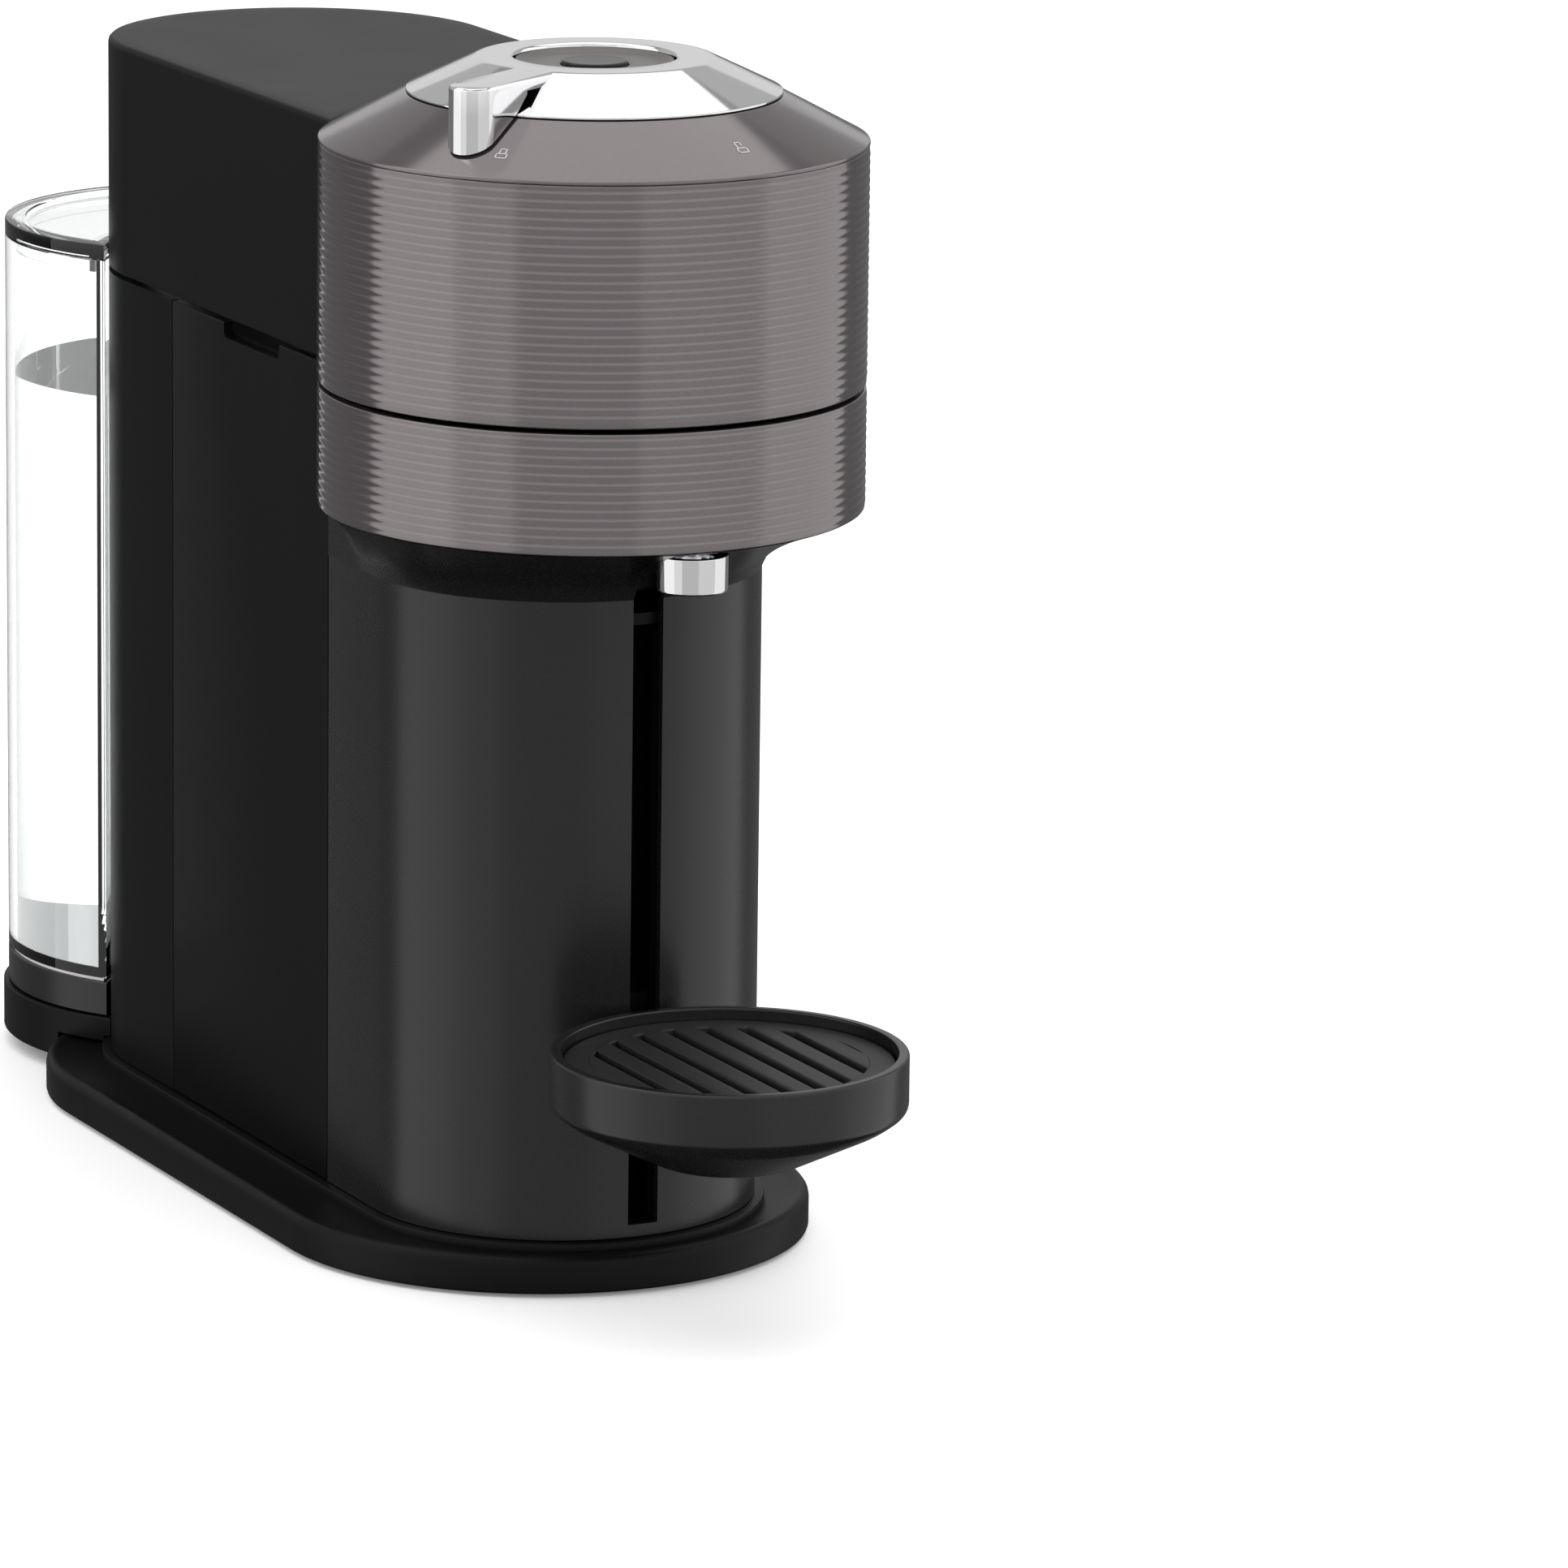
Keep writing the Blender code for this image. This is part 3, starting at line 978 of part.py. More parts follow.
def bin_outline(inset):
    """The bin's outline, moved in by inset, with its corners cut off."""
    half = BIN_HALF - inset
    front, rear = BIN_FRONT_Y + inset, BIN_REAR_Y - inset
    small, large = BIN_CORNER / 2 - inset * 0.6, BIN_CORNER - inset * 0.6
    right = [(half - small, front), (half, front + small), (half, rear - large), (half - large, rear)]
    return right + [(-x, y) for x, y in reversed(right)]


def clear_hose():
    return material("silicone_hose", (0.75, 0.74, 0.72), 0.4)


# ================================================================ carriers
def carry(parent, names):
    """Parent pieces to an empty without moving them."""
    for name in names:
        piece = bpy.data.objects[name]
        piece.parent = parent
        piece.matrix_parent_inverse = Matrix.Translation(parent.location).inverted()


def carrier(name, location):
    empty = bpy.data.objects.new(name, None)
    empty.location = location
    PARTS.objects.link(empty)
    return empty


def place_carriers():
    """Empties on the joint axes carry what moves; `machine` carries everything else."""
    machine = carrier("machine", (0.0, 0.0, 0.0))
    hinge = carrier("head_hinge", (0.0, HINGE_Y, HINGE_Z))
    tank = carrier("tank_slide", (0.0, TANK_Y, TANK_BOTTOM))
    support = carrier("support_slide", (0.0, SUPPORT_Y, SUPPORT_TOP))
    carry(hinge, ["head_upper_shell", "rear_cover", "head_frame", "brew_head", "head_seal", "head_hose",
                  "button_dish", "switch_board", "button_spring", "lock_ring", "lock_collar", "brew_button",
                  "pierce_plate"])
    carry(tank, ["water_tank", "tank_lid", "tank_valve"])
    carry(support, ["cup_support", "support_carriage", "drip_grid"])
    for piece in [*PARTS.objects, *CUTTERS.objects]:
        if piece.parent is None and piece is not machine:
            piece.parent = machine
    machine.location = (0.0, HEAD_Y, 0.0)


def main():
    clear_scene()
    titanium = material("titanium_grey", (0.13, 0.115, 0.12), 0.35, 0.5)
    satin = material("satin_graphite", (0.035, 0.035, 0.036), 0.38, 0.2)
    black = material("matte_black", (0.008, 0.008, 0.008), 0.5)
    dark = material("dark_plastic", (0.03, 0.03, 0.03), 0.5)
    grey = material("grey_plastic", (0.3, 0.3, 0.3), 0.5)
    chrome = material("chrome", (0.8, 0.8, 0.8), 0.08, 1.0)
    steel = material("steel", (0.55, 0.55, 0.55), 0.3, 1.0)
    rubber = material("rubber", (0.02, 0.02, 0.02), 0.85)
    clear = material("clear_plastic", (0.9, 0.92, 0.92), 0.05, 0.0, 0.25)
    make_base(black, rubber, steel)
    make_body(satin, black, rubber)
    make_head_shells(titanium, black)
    make_frames(grey, steel)
    make_deck_cover(black)
    make_brewer(dark, grey, steel, rubber, chrome, black)
    make_controls(chrome, dark, black, steel)
    make_cup_support(satin, dark, grey)
    make_tank(clear, black, rubber)
    make_inside(dark, grey, steel, rubber, black)
    place_carriers()


main()
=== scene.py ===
# %% [markdown]
# # A pod coffee machine
# The machine has a round ribbed head that hinges open, a chrome ring with a lever that locks it,
# a slim column with a cup support, and a clear water tank behind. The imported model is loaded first
# as a fixed frame. Each visible piece is then built finely in the same place and rides on the
# frame's bodies, so that every joint still works.

# %% The frame and its sizes
import math

import bmesh
import bpy
from mathutils import Matrix, Vector


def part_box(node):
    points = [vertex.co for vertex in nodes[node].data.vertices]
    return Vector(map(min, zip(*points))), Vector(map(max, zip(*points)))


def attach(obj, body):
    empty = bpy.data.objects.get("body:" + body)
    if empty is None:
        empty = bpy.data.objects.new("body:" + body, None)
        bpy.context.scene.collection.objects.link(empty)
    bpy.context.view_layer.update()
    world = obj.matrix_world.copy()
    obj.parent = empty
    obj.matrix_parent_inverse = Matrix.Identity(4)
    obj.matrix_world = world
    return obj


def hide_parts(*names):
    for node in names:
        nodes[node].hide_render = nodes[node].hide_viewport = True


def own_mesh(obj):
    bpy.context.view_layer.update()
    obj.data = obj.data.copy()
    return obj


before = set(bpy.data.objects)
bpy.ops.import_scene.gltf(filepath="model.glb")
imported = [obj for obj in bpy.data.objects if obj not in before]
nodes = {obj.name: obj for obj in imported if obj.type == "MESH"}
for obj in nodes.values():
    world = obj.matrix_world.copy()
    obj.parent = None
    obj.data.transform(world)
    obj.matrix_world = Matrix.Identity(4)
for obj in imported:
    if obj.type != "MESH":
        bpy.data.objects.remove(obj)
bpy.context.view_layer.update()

# %% [markdown]
# ## Sizes from the frame
# A size that a node already has is read from that node's box, so the fine pieces can't drift from
# the mechanical ones. Only sizes that no box holds, such as the thickness of a wall, are stated.


# %% Read the driving sizes
def span(node):
    """Lowest and highest corner of a node, as vectors."""
    low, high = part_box(node)
    return Vector(low), Vector(high)


low, high = span("brew_button")
AXIS_Y = (low.y + high.y) / 2
low, high = span("head_upper_shell")
HEAD_RADIUS = (high.x - low.x) / 2
HEAD_SEAM, CONE_TOP = low.z, high.z
low, high = span("head_lower_ring")
HEAD_BOTTOM, BODY_TOP = low.z, high.z
low, high = span("rear_cover")
BODY_HALF, BODY_REAR, RIDGE_Z = (high.x - low.x) / 2, high.y, high.z
BODY_REAR_Y = BODY_REAR - BODY_HALF
low, high = span("column_front")
COLUMN_Y, FRONT_SEAM_Y = low.y + BODY_HALF, high.y
BODY_BOTTOM, NECK_BOTTOM = low.z, high.z
REAR_SEAM_Y = span("rear_panel")[0].y
RING_TOP = span("lock_ring")[1].z
print("head radius", round(HEAD_RADIUS, 4), "body half width", round(BODY_HALF, 4))

# %% Sizes that no box holds
GAP = 0.0003
HEAD_WALL = 0.0028
BODY_WALL = 0.0025
CONE_RADIUS = 0.048
RING_FLAT = 0.030
RING_HOLE = 0.0206
LEVER_REACH = 0.0640
LEVER_HALF = 0.0062
LEVER_ANGLE = 57.0
RIB_PITCH = 0.00225
RIB_HEIGHT = 0.00015
SLOT_HALF = 0.0042
SLOT_BOTTOM = 0.016
FINE = 192

# %% [markdown]
# ## A few small makers
# Most of this machine is turned or follows one plan outline all the way up. `lathe` turns a
# profile, and `stacked` skins one plan outline drawn at several insets and heights. `rounded` gives
# a drawn outline the small radii that every moulded edge has. `lathe`, `stacked` and `block` return
# a bmesh, because a bmesh can be joined and cut before it becomes an object.


# %% Profiles with rounded corners
def rounded(points, radius, steps=4, closed=True):
    """Turn each corner of an outline into a short arc. A point may carry a radius of its own."""
    result = []
    count = len(points)
    for i, point in enumerate(points):
        here = Vector(point[:2])
        own = point[2] if len(point) > 2 else radius
        if not closed and i in (0, count - 1) or own == 0:
            result.append(here)
            continue
        before = Vector(points[i - 1][:2]) - here
        after = Vector(points[(i + 1) % count][:2]) - here
        reach = min(own, before.length * 0.48, after.length * 0.48)
        start = here + before.normalized() * reach
        end = here + after.normalized() * reach
        for k in range(steps + 1):
            t = k / steps
            result.append(start * (1 - t) ** 2 + here * 2 * t * (1 - t) + end * t * t)
    return [(p.x, p.y) for p in result]


# %% Turn a profile
def lathe(profile, centre_y=None, centre_x=0.0, sides=FINE, start=0.0, sweep=360.0, closed=True):
    """Turn (radius, height) points about an upright axis, all the way round or part of it."""
    centre_y = AXIS_Y if centre_y is None else centre_y
    bm = bmesh.new()
    full = sweep >= 360.0
    columns = []
    for i in range(sides if full else sides + 1):
        angle = math.radians(start + sweep * i / sides)
        x, y = math.cos(angle), math.sin(angle)
        columns.append([bm.verts.new((centre_x + r * x, centre_y + r * y, z)) for r, z in profile])
    following = columns[1:] + columns[:1] if full else columns[1:]
    for here, there in zip(columns, following):
        for i in range(len(profile) if closed else len(profile) - 1):
            j = (i + 1) % len(profile)
            bm.faces.new((here[i], there[i], there[j], here[j]))
    if not full:
        bm.faces.new(columns[0])
        bm.faces.new(columns[-1])
    bmesh.ops.remove_doubles(bm, verts=bm.verts, dist=1e-7)
    bmesh.ops.recalc_face_normals(bm, faces=bm.faces)
    return bm


# %% Skin a plan outline at several heights
def stacked(outline, section, ring=False):
    """Skin outline(inset), a list of plan points, along a section of (inset, height) steps.

    A ring's section closes on itself, as a hollow wall's does.
    """
    bm = bmesh.new()
    loops = []
    for inset, height in section:
        loops.append([bm.verts.new((x, y, height)) for x, y in outline(inset)])
    for low_loop, high_loop in zip(loops, loops[1:] + loops[:1] if ring else loops[1:]):
        for i in range(len(low_loop)):
            j = (i + 1) % len(low_loop)
            bm.faces.new((low_loop[i], low_loop[j], high_loop[j], high_loop[i]))
    if not ring:
        bm.faces.new(loops[0])
        bm.faces.new(loops[-1])
    bmesh.ops.remove_doubles(bm, verts=bm.verts, dist=1e-7)
    bmesh.ops.recalc_face_normals(bm, faces=bm.faces)
    return bm


def arc(centre_y, radius, start, end, count):
    """Plan points of an arc about (0, centre_y)."""
    angles = [math.radians(start + (end - start) * i / count) for i in range(count + 1)]
    return [(radius * math.cos(a), centre_y + radius * math.sin(a)) for a in angles]


def block(low_corner, high_corner, edge=0.0):
    """A box between two corners. Its edges are rounded if edge is given."""
    bm = bmesh.new()
    bmesh.ops.create_cube(bm, size=1.0)
    low_corner, high_corner = Vector(low_corner), Vector(high_corner)
    bmesh.ops.scale(bm, vec=high_corner - low_corner, verts=bm.verts)
    bmesh.ops.translate(bm, vec=(low_corner + high_corner) / 2, verts=bm.verts)
    if edge:
        bmesh.ops.bevel(bm, geom=bm.edges[:], offset=edge, segments=3, profile=0.5, affect="EDGES")
    return bm


# %% [markdown]
# ## Cutting, and putting a piece on its body
# A slot or a hole is cut with an exact Boolean on throw-away objects, and the result is read back
# as a plain mesh. `make` turns a bmesh into the finished piece: it shades it smooth with sharp
# edges, gives it its finish, hides the plain nodes that it stands for and puts it on its body.


# %% Cut one bmesh with others
def loose(bm):
    """A throw-away object that holds a bmesh."""
    mesh = bpy.data.meshes.new("loose")
    bm.to_mesh(mesh)
    bm.free()
    thing = bpy.data.objects.new("loose", mesh)
    bpy.context.scene.collection.objects.link(thing)
    return thing


def plain_mesh(thing):
    """What an object's modifiers make of it, as a plain mesh. The object is removed."""
    bpy.context.view_layer.update()
    graph = bpy.context.evaluated_depsgraph_get()
    mesh = bpy.data.meshes.new_from_object(thing.evaluated_get(graph))
    bpy.data.objects.remove(thing, do_unlink=True)
    return mesh


def carved(solid, *cutters, operation="DIFFERENCE"):
    """Cut solids out of a solid, or join them to it. All are bmeshes."""
    thing = loose(solid)
    tools = [loose(cutter) for cutter in cutters]
    for tool in tools:
        step = thing.modifiers.new("cut", "BOOLEAN")
        step.operation = operation
        step.solver = "EXACT"
        step.object = tool
    mesh = plain_mesh(thing)
    for tool in tools:
        bpy.data.objects.remove(tool, do_unlink=True)
    bm = bmesh.new()
    bm.from_mesh(mesh)
    bpy.data.meshes.remove(mesh)
    return bm


# %% Make the finished piece
PIECES = bpy.data.collections.new("coffee_machine")
bpy.context.scene.collection.children.link(PIECES)


def make(name, shape, finish, body, stands_for=(), crease=32.0):
    """Put a bmesh or a mesh in the scene as a finished piece on its body."""
    if isinstance(shape, bmesh.types.BMesh):
        mesh = bpy.data.meshes.new(name)
        shape.to_mesh(mesh)
        shape.free()
    else:
        mesh = shape
        mesh.name = name
    mesh.materials.clear()
    mesh.materials.append(finish)
    mesh.shade_smooth()
    mesh.set_sharp_from_angle(angle=math.radians(crease))
    piece = bpy.data.objects.new(name, mesh)
    PIECES.objects.link(piece)
    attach(piece, body)
    if stands_for:
        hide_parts(*stands_for)
    print(f"  {name}: {len(mesh.polygons)} faces on {body}")
    return piece


# %% [markdown]
# ## Finishes
# Shader maths reads best as arithmetic, so one small class wraps a shader socket and overloads the
# operators. Every finish then starts from a few words: a colour, how rough it is, and what breaks
# it up. Moulded plastic has a fine spark-eroded grain, the head has a metallic paint with small
# flakes, and chrome is almost perfect but for faint smudges.


# %% Shader sockets that can be added and multiplied
class Value:
    """A shader socket with arithmetic."""

    def __init__(self, tree, socket):
        self.tree = tree
        self.socket = socket

    def combine(self, operation, first, second):
        node = self.tree.nodes.new("ShaderNodeMath")
        node.operation = operation
        for term, entry in ((first, node.inputs[0]), (second, node.inputs[1])):
            if isinstance(term, Value):
                self.tree.links.new(term.socket, entry)
            else:
                entry.default_value = term
        return Value(self.tree, node.outputs[0])

    def __add__(self, other):
        return self.combine("ADD", self, other)

    def __mul__(self, other):
        return self.combine("MULTIPLY", self, other)

    __radd__ = __add__
    __rmul__ = __mul__


# %% A finish and its node maker
class Finish:
    """A Principled material and a short way to add nodes to it."""

    def __init__(self, name, colour, roughness, metallic=0.0, **constants):
        self.material = bpy.data.materials.new(name)
        self.material.use_nodes = True
        self.tree = self.material.node_tree
        self.shader = self.tree.nodes["Principled BSDF"]
        self.set("Base Color", (*colour, 1.0))
        self.set("Roughness", roughness)
        self.set("Metallic", metallic)
        for socket, value in constants.items():
            self.set(socket.replace("_", " "), value)
        self.place = self.node("ShaderNodeTexCoord", output="Object")

    def set(self, socket, value):
        """Give one of the shader's sockets a number, a colour or a link."""
        if isinstance(value, Value):
            self.tree.links.new(value.socket, self.shader.inputs[socket])
        else:
            self.shader.inputs[socket].default_value = value

    def node(self, kind, settings=None, output=0, **sockets):
        """Add any node: its settings first, then the values or links of its sockets."""
        node = self.tree.nodes.new(kind)
        for name, value in (settings or {}).items():
            setattr(node, name, value)
        for name, value in sockets.items():
            entry = node.inputs[name.replace("_", " ")]
            if isinstance(value, Value):
                self.tree.links.new(value.socket, entry)
            else:
                entry.default_value = value
        return Value(self.tree, node.outputs[output])

    def noise(self, scale, detail=2.0, stretch=(1.0, 1.0, 1.0)):
        """Noise in metres on the piece, stretched if wanted."""
        where = self.node("ShaderNodeMapping", Vector=self.place, Scale=stretch)
        return self.node("ShaderNodeTexNoise", Vector=where, Scale=scale, Detail=detail)

    def blend(self, factor, first, second):
        """Mix two colours by a factor. The colour sockets share their names, so they go by number."""
        first_colour, second_colour, mixed_colour = 6, 7, 2
        mixed = self.node("ShaderNodeMix", {"data_type": "RGBA"}, output=mixed_colour, Factor=factor)
        node = mixed.socket.node
        node.inputs[first_colour].default_value = (*first, 1.0)
        node.inputs[second_colour].default_value = (*second, 1.0)
        return mixed

    def bump(self, height, strength, distance):
        """Raise the surface by a height field."""
        self.set("Normal", self.node("ShaderNodeBump", Height=height, Strength=strength, Distance=distance))


def tint(colour, factor):
    """A colour made lighter or darker."""
    return tuple(min(1.0, channel * factor) for channel in colour)


# %% [markdown]
# ### Moulded plastic
# A mould's fine texture scatters light, so plastic never looks like flat paint. Two noises do it:
# a very fine one for the grain and a slow one that changes the gloss a little, as handling does.


# %% Plastics and rubber
def moulded(name, colour, roughness, grain=0.00003, **constants):
    """Moulded plastic with a fine grain."""
    finish = Finish(name, colour, roughness, **constants)
    fine = finish.noise(2600.0, 3.0)
    slow = finish.noise(30.0, 2.0)
    finish.set("Base Color", finish.blend(slow, tint(colour, 0.88), tint(colour, 1.12)))
    finish.set("Roughness", roughness - 0.05 + 0.05 * slow + 0.05 * fine)
    finish.bump(fine, 0.35, grain)
    return finish.material


matte_black = moulded("matte_black", (0.0022, 0.0022, 0.0023), 0.42, Specular_IOR_Level=0.15)
satin_graphite = moulded("satin_graphite", (0.0055, 0.0053, 0.0053), 0.27, grain=0.00001)
dark_plastic = moulded("dark_plastic", (0.010, 0.010, 0.010), 0.5)
grey_plastic = moulded("grey_plastic", (0.28, 0.28, 0.28), 0.48)
dish_plastic = moulded("dish_plastic", (0.085, 0.078, 0.076), 0.38)
button_black = moulded("button_black", (0.006, 0.006, 0.006), 0.30, grain=0.00001)
black_rubber = moulded("black_rubber", (0.012, 0.012, 0.012), 0.72, grain=0.00006)
icon_paint = moulded("icon_paint", (0.42, 0.41, 0.41), 0.45)
hose_silicone = moulded("hose_silicone", (0.72, 0.71, 0.69), 0.35, Subsurface_Weight=0.2)
floor_frost = moulded("floor_frost", (0.55, 0.54, 0.53), 0.5)
print("plastics ready")

# %% [markdown]
# ### Metals
# The head's warm grey is a metallic paint: a dark base with flakes that catch the light at slightly
# different angles. Turned and brushed steel is noise stretched along the tool's path.


# %% Metallic paint
def flake_paint(name, colour, roughness):
    """Metallic paint with fine flakes."""
    finish = Finish(name, colour, roughness, 0.90, Coat_Roughness=0.12)
    flakes = finish.node("ShaderNodeTexVoronoi", Vector=finish.place, Scale=5200.0, output=0)
    slow = finish.noise(24.0, 2.0)
    finish.set("Base Color", finish.blend(flakes, tint(colour, 0.86), tint(colour, 1.16)))
    finish.set("Roughness", roughness - 0.03 + 0.06 * slow)
    finish.set("Coat Weight", 0.15)
    finish.bump(flakes, 0.10, 0.00001)
    return finish.material


titanium = flake_paint("titanium_paint", (0.200, 0.178, 0.182), 0.14)
titanium_rib = flake_paint("titanium_rib_paint", (0.215, 0.192, 0.196), 0.14)


# %% Chrome and steels
def chromed(name, roughness):
    """Bright chrome with faint smudges."""
    finish = Finish(name, (0.86, 0.86, 0.87), roughness, 1.0)
    smudge = finish.noise(40.0, 4.0)
    finish.set("Roughness", roughness + 0.05 * smudge)
    return finish.material


def brushed(name, colour, roughness, stretch=(1.0, 1.0, 12.0), metallic=1.0):
    """Turned or drawn metal: noise stretched along the tool's path."""
    finish = Finish(name, colour, roughness, metallic)
    lines = finish.noise(300.0, 3.0, stretch)
    finish.set("Base Color", finish.blend(lines, tint(colour, 0.85), tint(colour, 1.1)))
    finish.set("Roughness", roughness - 0.06 + 0.14 * lines)
    finish.bump(lines, 0.2, 0.00002)
    return finish.material


chrome = chromed("chrome", 0.045)
steel = brushed("turned_steel", (0.52, 0.52, 0.53), 0.28)
cast_aluminium = brushed("cast_aluminium", (0.50, 0.50, 0.51), 0.46, (1.0, 1.0, 1.0))
black_steel = brushed("blackened_steel", (0.03, 0.03, 0.03), 0.42)
print("metals ready")


# %% Clear plastic, water and circuit board
def clear(name, colour, ior, roughness):
    """A see-through finish with faint handling marks."""
    finish = Finish(name, colour, roughness, 0.0, IOR=ior, Transmission_Weight=1.0)
    marks = finish.noise(55.0, 3.0)
    finish.set("Roughness", roughness + 0.02 * marks)
    return finish.material


def circuit(name):
    """A coated board: green with copper tracks under the coating."""
    finish = Finish(name, (0.02, 0.12, 0.05), 0.4)
    tracks = finish.node("ShaderNodeTexBrick", Vector=finish.place, Scale=160.0, output=1)
    finish.set("Base Color", finish.blend(tracks, (0.016, 0.10, 0.04), (0.05, 0.22, 0.09)))
    finish.set("Roughness", 0.35 + 0.15 * tracks)
    return finish.material


clear_plastic = clear("clear_plastic", (0.96, 0.97, 0.97), 1.46, 0.0)
water_finish = clear("water", (0.97, 0.985, 0.985), 1.33, 0.0)
circuit_green = circuit("circuit_green")
print("clear finishes ready")

# %% [markdown]
# ## The base
# A low stadium-shaped moulding with a rounded upper edge, and a low step on which the body stands.
# Its underside is hollow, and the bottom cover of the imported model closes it.


# %% Plan outlines that follow the body
def stadium(half, front_y, rear_y):
    """A long plan outline with two half-round ends, as a function of its inset."""
    def outline(inset):
        ends = FINE // 2
        return arc(front_y, half - inset, 180, 360, ends) + arc(rear_y, half - inset, 0, 180, ends)
    return outline


def end_wall(centre_y, seam_y):
    """Plan outline of the wall round one end of the body, back to its seam. It has no inset."""
    start, ends = 180 if seam_y > centre_y else 0, FINE // 2
    outer = [(*point, 0) for point in arc(centre_y, BODY_HALF, start, start + 180, ends)]
    inner = [(*point, 0) for point in arc(centre_y, BODY_HALF - BODY_WALL, start + 180, start, ends)]
    plan = [(outer[0][0], seam_y), *outer, (outer[-1][0], seam_y)]
    plan += [(inner[0][0], seam_y), *inner, (inner[-1][0], seam_y)]
    outline = rounded(plan, 0.0006)
    return lambda inset: outline


def rod(x, y, radius, low_z, high_z, sides=64):
    """An upright rod, as a cutter or a solid."""
    return lathe([(0, low_z), (radius, low_z), (radius, high_z), (0, high_z)], y, x, sides, closed=False)


# %% Base moulding and its step
low, high = span("base_shell")
BASE_HALF, BASE_LIFT = (high.x - low.x) / 2, low.z
BASE_TOP, PLINTH_TOP, SKIN = 0.011, high.z, 0.0028
base_plan = stadium(BASE_HALF, low.y + BASE_HALF, high.y - BASE_HALF)
section = [(0.030, BASE_TOP - SKIN), (SKIN, BASE_TOP - SKIN), (SKIN, BASE_LIFT), (0.0008, BASE_LIFT),
           (0.0002, BASE_LIFT + 0.0003), (0, BASE_LIFT + 0.0009), (0, BASE_TOP - 0.0024),
           (0.0002, BASE_TOP - 0.0014), (0.0008, BASE_TOP - 0.0006), (0.0016, BASE_TOP - 0.0001),
           (0.0024, BASE_TOP), (0.0034, BASE_TOP - 0.0002), (0.0050, BASE_TOP - 0.0006),
           (0.030, BASE_TOP - 0.0006)]
make("base_moulding", stacked(base_plan, section), matte_black, "housing", ["base_shell"])
plinth_plan = stadium(BODY_HALF + 0.0025, COLUMN_Y, BODY_REAR_Y)
section = [(0, BASE_TOP - 0.001), (0, PLINTH_TOP - 0.0005), (0.0002, PLINTH_TOP - 0.0001),
           (0.0006, PLINTH_TOP), (0.004, PLINTH_TOP)]
make("plinth", stacked(plinth_plan, section), matte_black, "housing")

# %% [markdown]
# ## Repeats
# Ribs, feet, screws, grid bars and needles are each one small unit that Geometry Nodes repeats
# along a line, over a grid or round a circle. The result is turned to a plain mesh at once.


# %% A Geometry Nodes pattern
def repeated(unit, kind, finish, centre=(0.0, 0.0, 0.0), **amounts):
    """Repeat a unit on the points of a line, a grid or a circle and give back a plain mesh."""
    thing = loose(unit)
    tree = bpy.data.node_groups.new("repeat", "GeometryNodeTree")
    tree.interface.new_socket("Geometry", in_out="INPUT", socket_type="NodeSocketGeometry")
    tree.interface.new_socket("Geometry", in_out="OUTPUT", socket_type="NodeSocketGeometry")
    entry, result = tree.nodes.new("NodeGroupInput"), tree.nodes.new("NodeGroupOutput")
    points = tree.nodes.new(kind)
    move = tree.nodes.new("GeometryNodeTransform")
    move.inputs["Translation"].default_value = centre
    copies = tree.nodes.new("GeometryNodeInstanceOnPoints")
    real = tree.nodes.new("GeometryNodeRealizeInstances")
    paint = tree.nodes.new("GeometryNodeSetMaterial")
    paint.inputs["Material"].default_value = finish
    sockets = {}
    for label, value in amounts.items():
        label = label.replace("_", " ")
        kind_of = "Int" if isinstance(value, int) else "Vector" if isinstance(value, tuple) else "Float"
        item = tree.interface.new_socket(label, in_out="INPUT", socket_type="NodeSocket" + kind_of)
        sockets[item.identifier] = value
        tree.links.new(entry.outputs[label], points.inputs[label])
    for here, there in ((points.outputs[0], move.inputs["Geometry"]),
                        (move.outputs["Geometry"], copies.inputs["Points"]),
                        (entry.outputs["Geometry"], copies.inputs["Instance"]),
                        (copies.outputs["Instances"], real.inputs["Geometry"]),
                        (real.outputs["Geometry"], paint.inputs["Geometry"]),
                        (paint.outputs["Geometry"], result.inputs["Geometry"])):
        tree.links.new(here, there)
    step = thing.modifiers.new("repeat", "NODES")
    step.node_group = tree
    for identifier, value in sockets.items():
        step[identifier] = value
    mesh = plain_mesh(thing)
    bpy.data.node_groups.remove(tree)
    return mesh


# %% Feet and screws
low, high = span("foot_1")
middle, radius = (low + high) / 2, (high.x - low.x) / 2
across, along = abs(middle.x) * 2, span("foot_3")[0].y - low.y
pad = rounded([(0, high.z, 0), (radius, high.z, 0), (radius, 0, 0.0006), (0, 0, 0)], 0.0, 4, closed=False)
grid_middle = (0.0, middle.y + along / 2, 0.0)
feet = repeated(lathe(pad, 0.0, 0.0, 48, closed=False), "GeometryNodeMeshGrid", black_rubber, grid_middle,
                Size_X=across, Size_Y=along, Vertices_X=2, Vertices_Y=2)
make("feet", feet, black_rubber, "housing", [f"foot_{i}" for i in range(1, 5)])

low, high = span("base_screw_1")
middle, radius = (low + high) / 2, (high.x - low.x) / 2
across, along = abs(middle.x) * 2, span("base_screw_3")[0].y - low.y
face, neck, shank = low.z, low.z + 0.0012, 0.0014
screw = lathe(rounded([(0, face + 0.0008, 0), (0.0011, face + 0.0008, 0), (0.0013, face, 0), (radius, face),
                       (radius, neck), (shank, neck, 0), (shank, high.z, 0), (0, high.z, 0)], 0.0003,
                      3, closed=False), 0.0, 0.0, 48, closed=False)
grid_middle = (0.0, middle.y + along / 2, 0.0)
screws = repeated(screw, "GeometryNodeMeshGrid", steel, grid_middle,
                  Size_X=across, Size_Y=along, Vertices_X=2, Vertices_Y=2)
make("base_screws", screws, steel, "housing", [f"base_screw_{i}" for i in range(1, 5)])

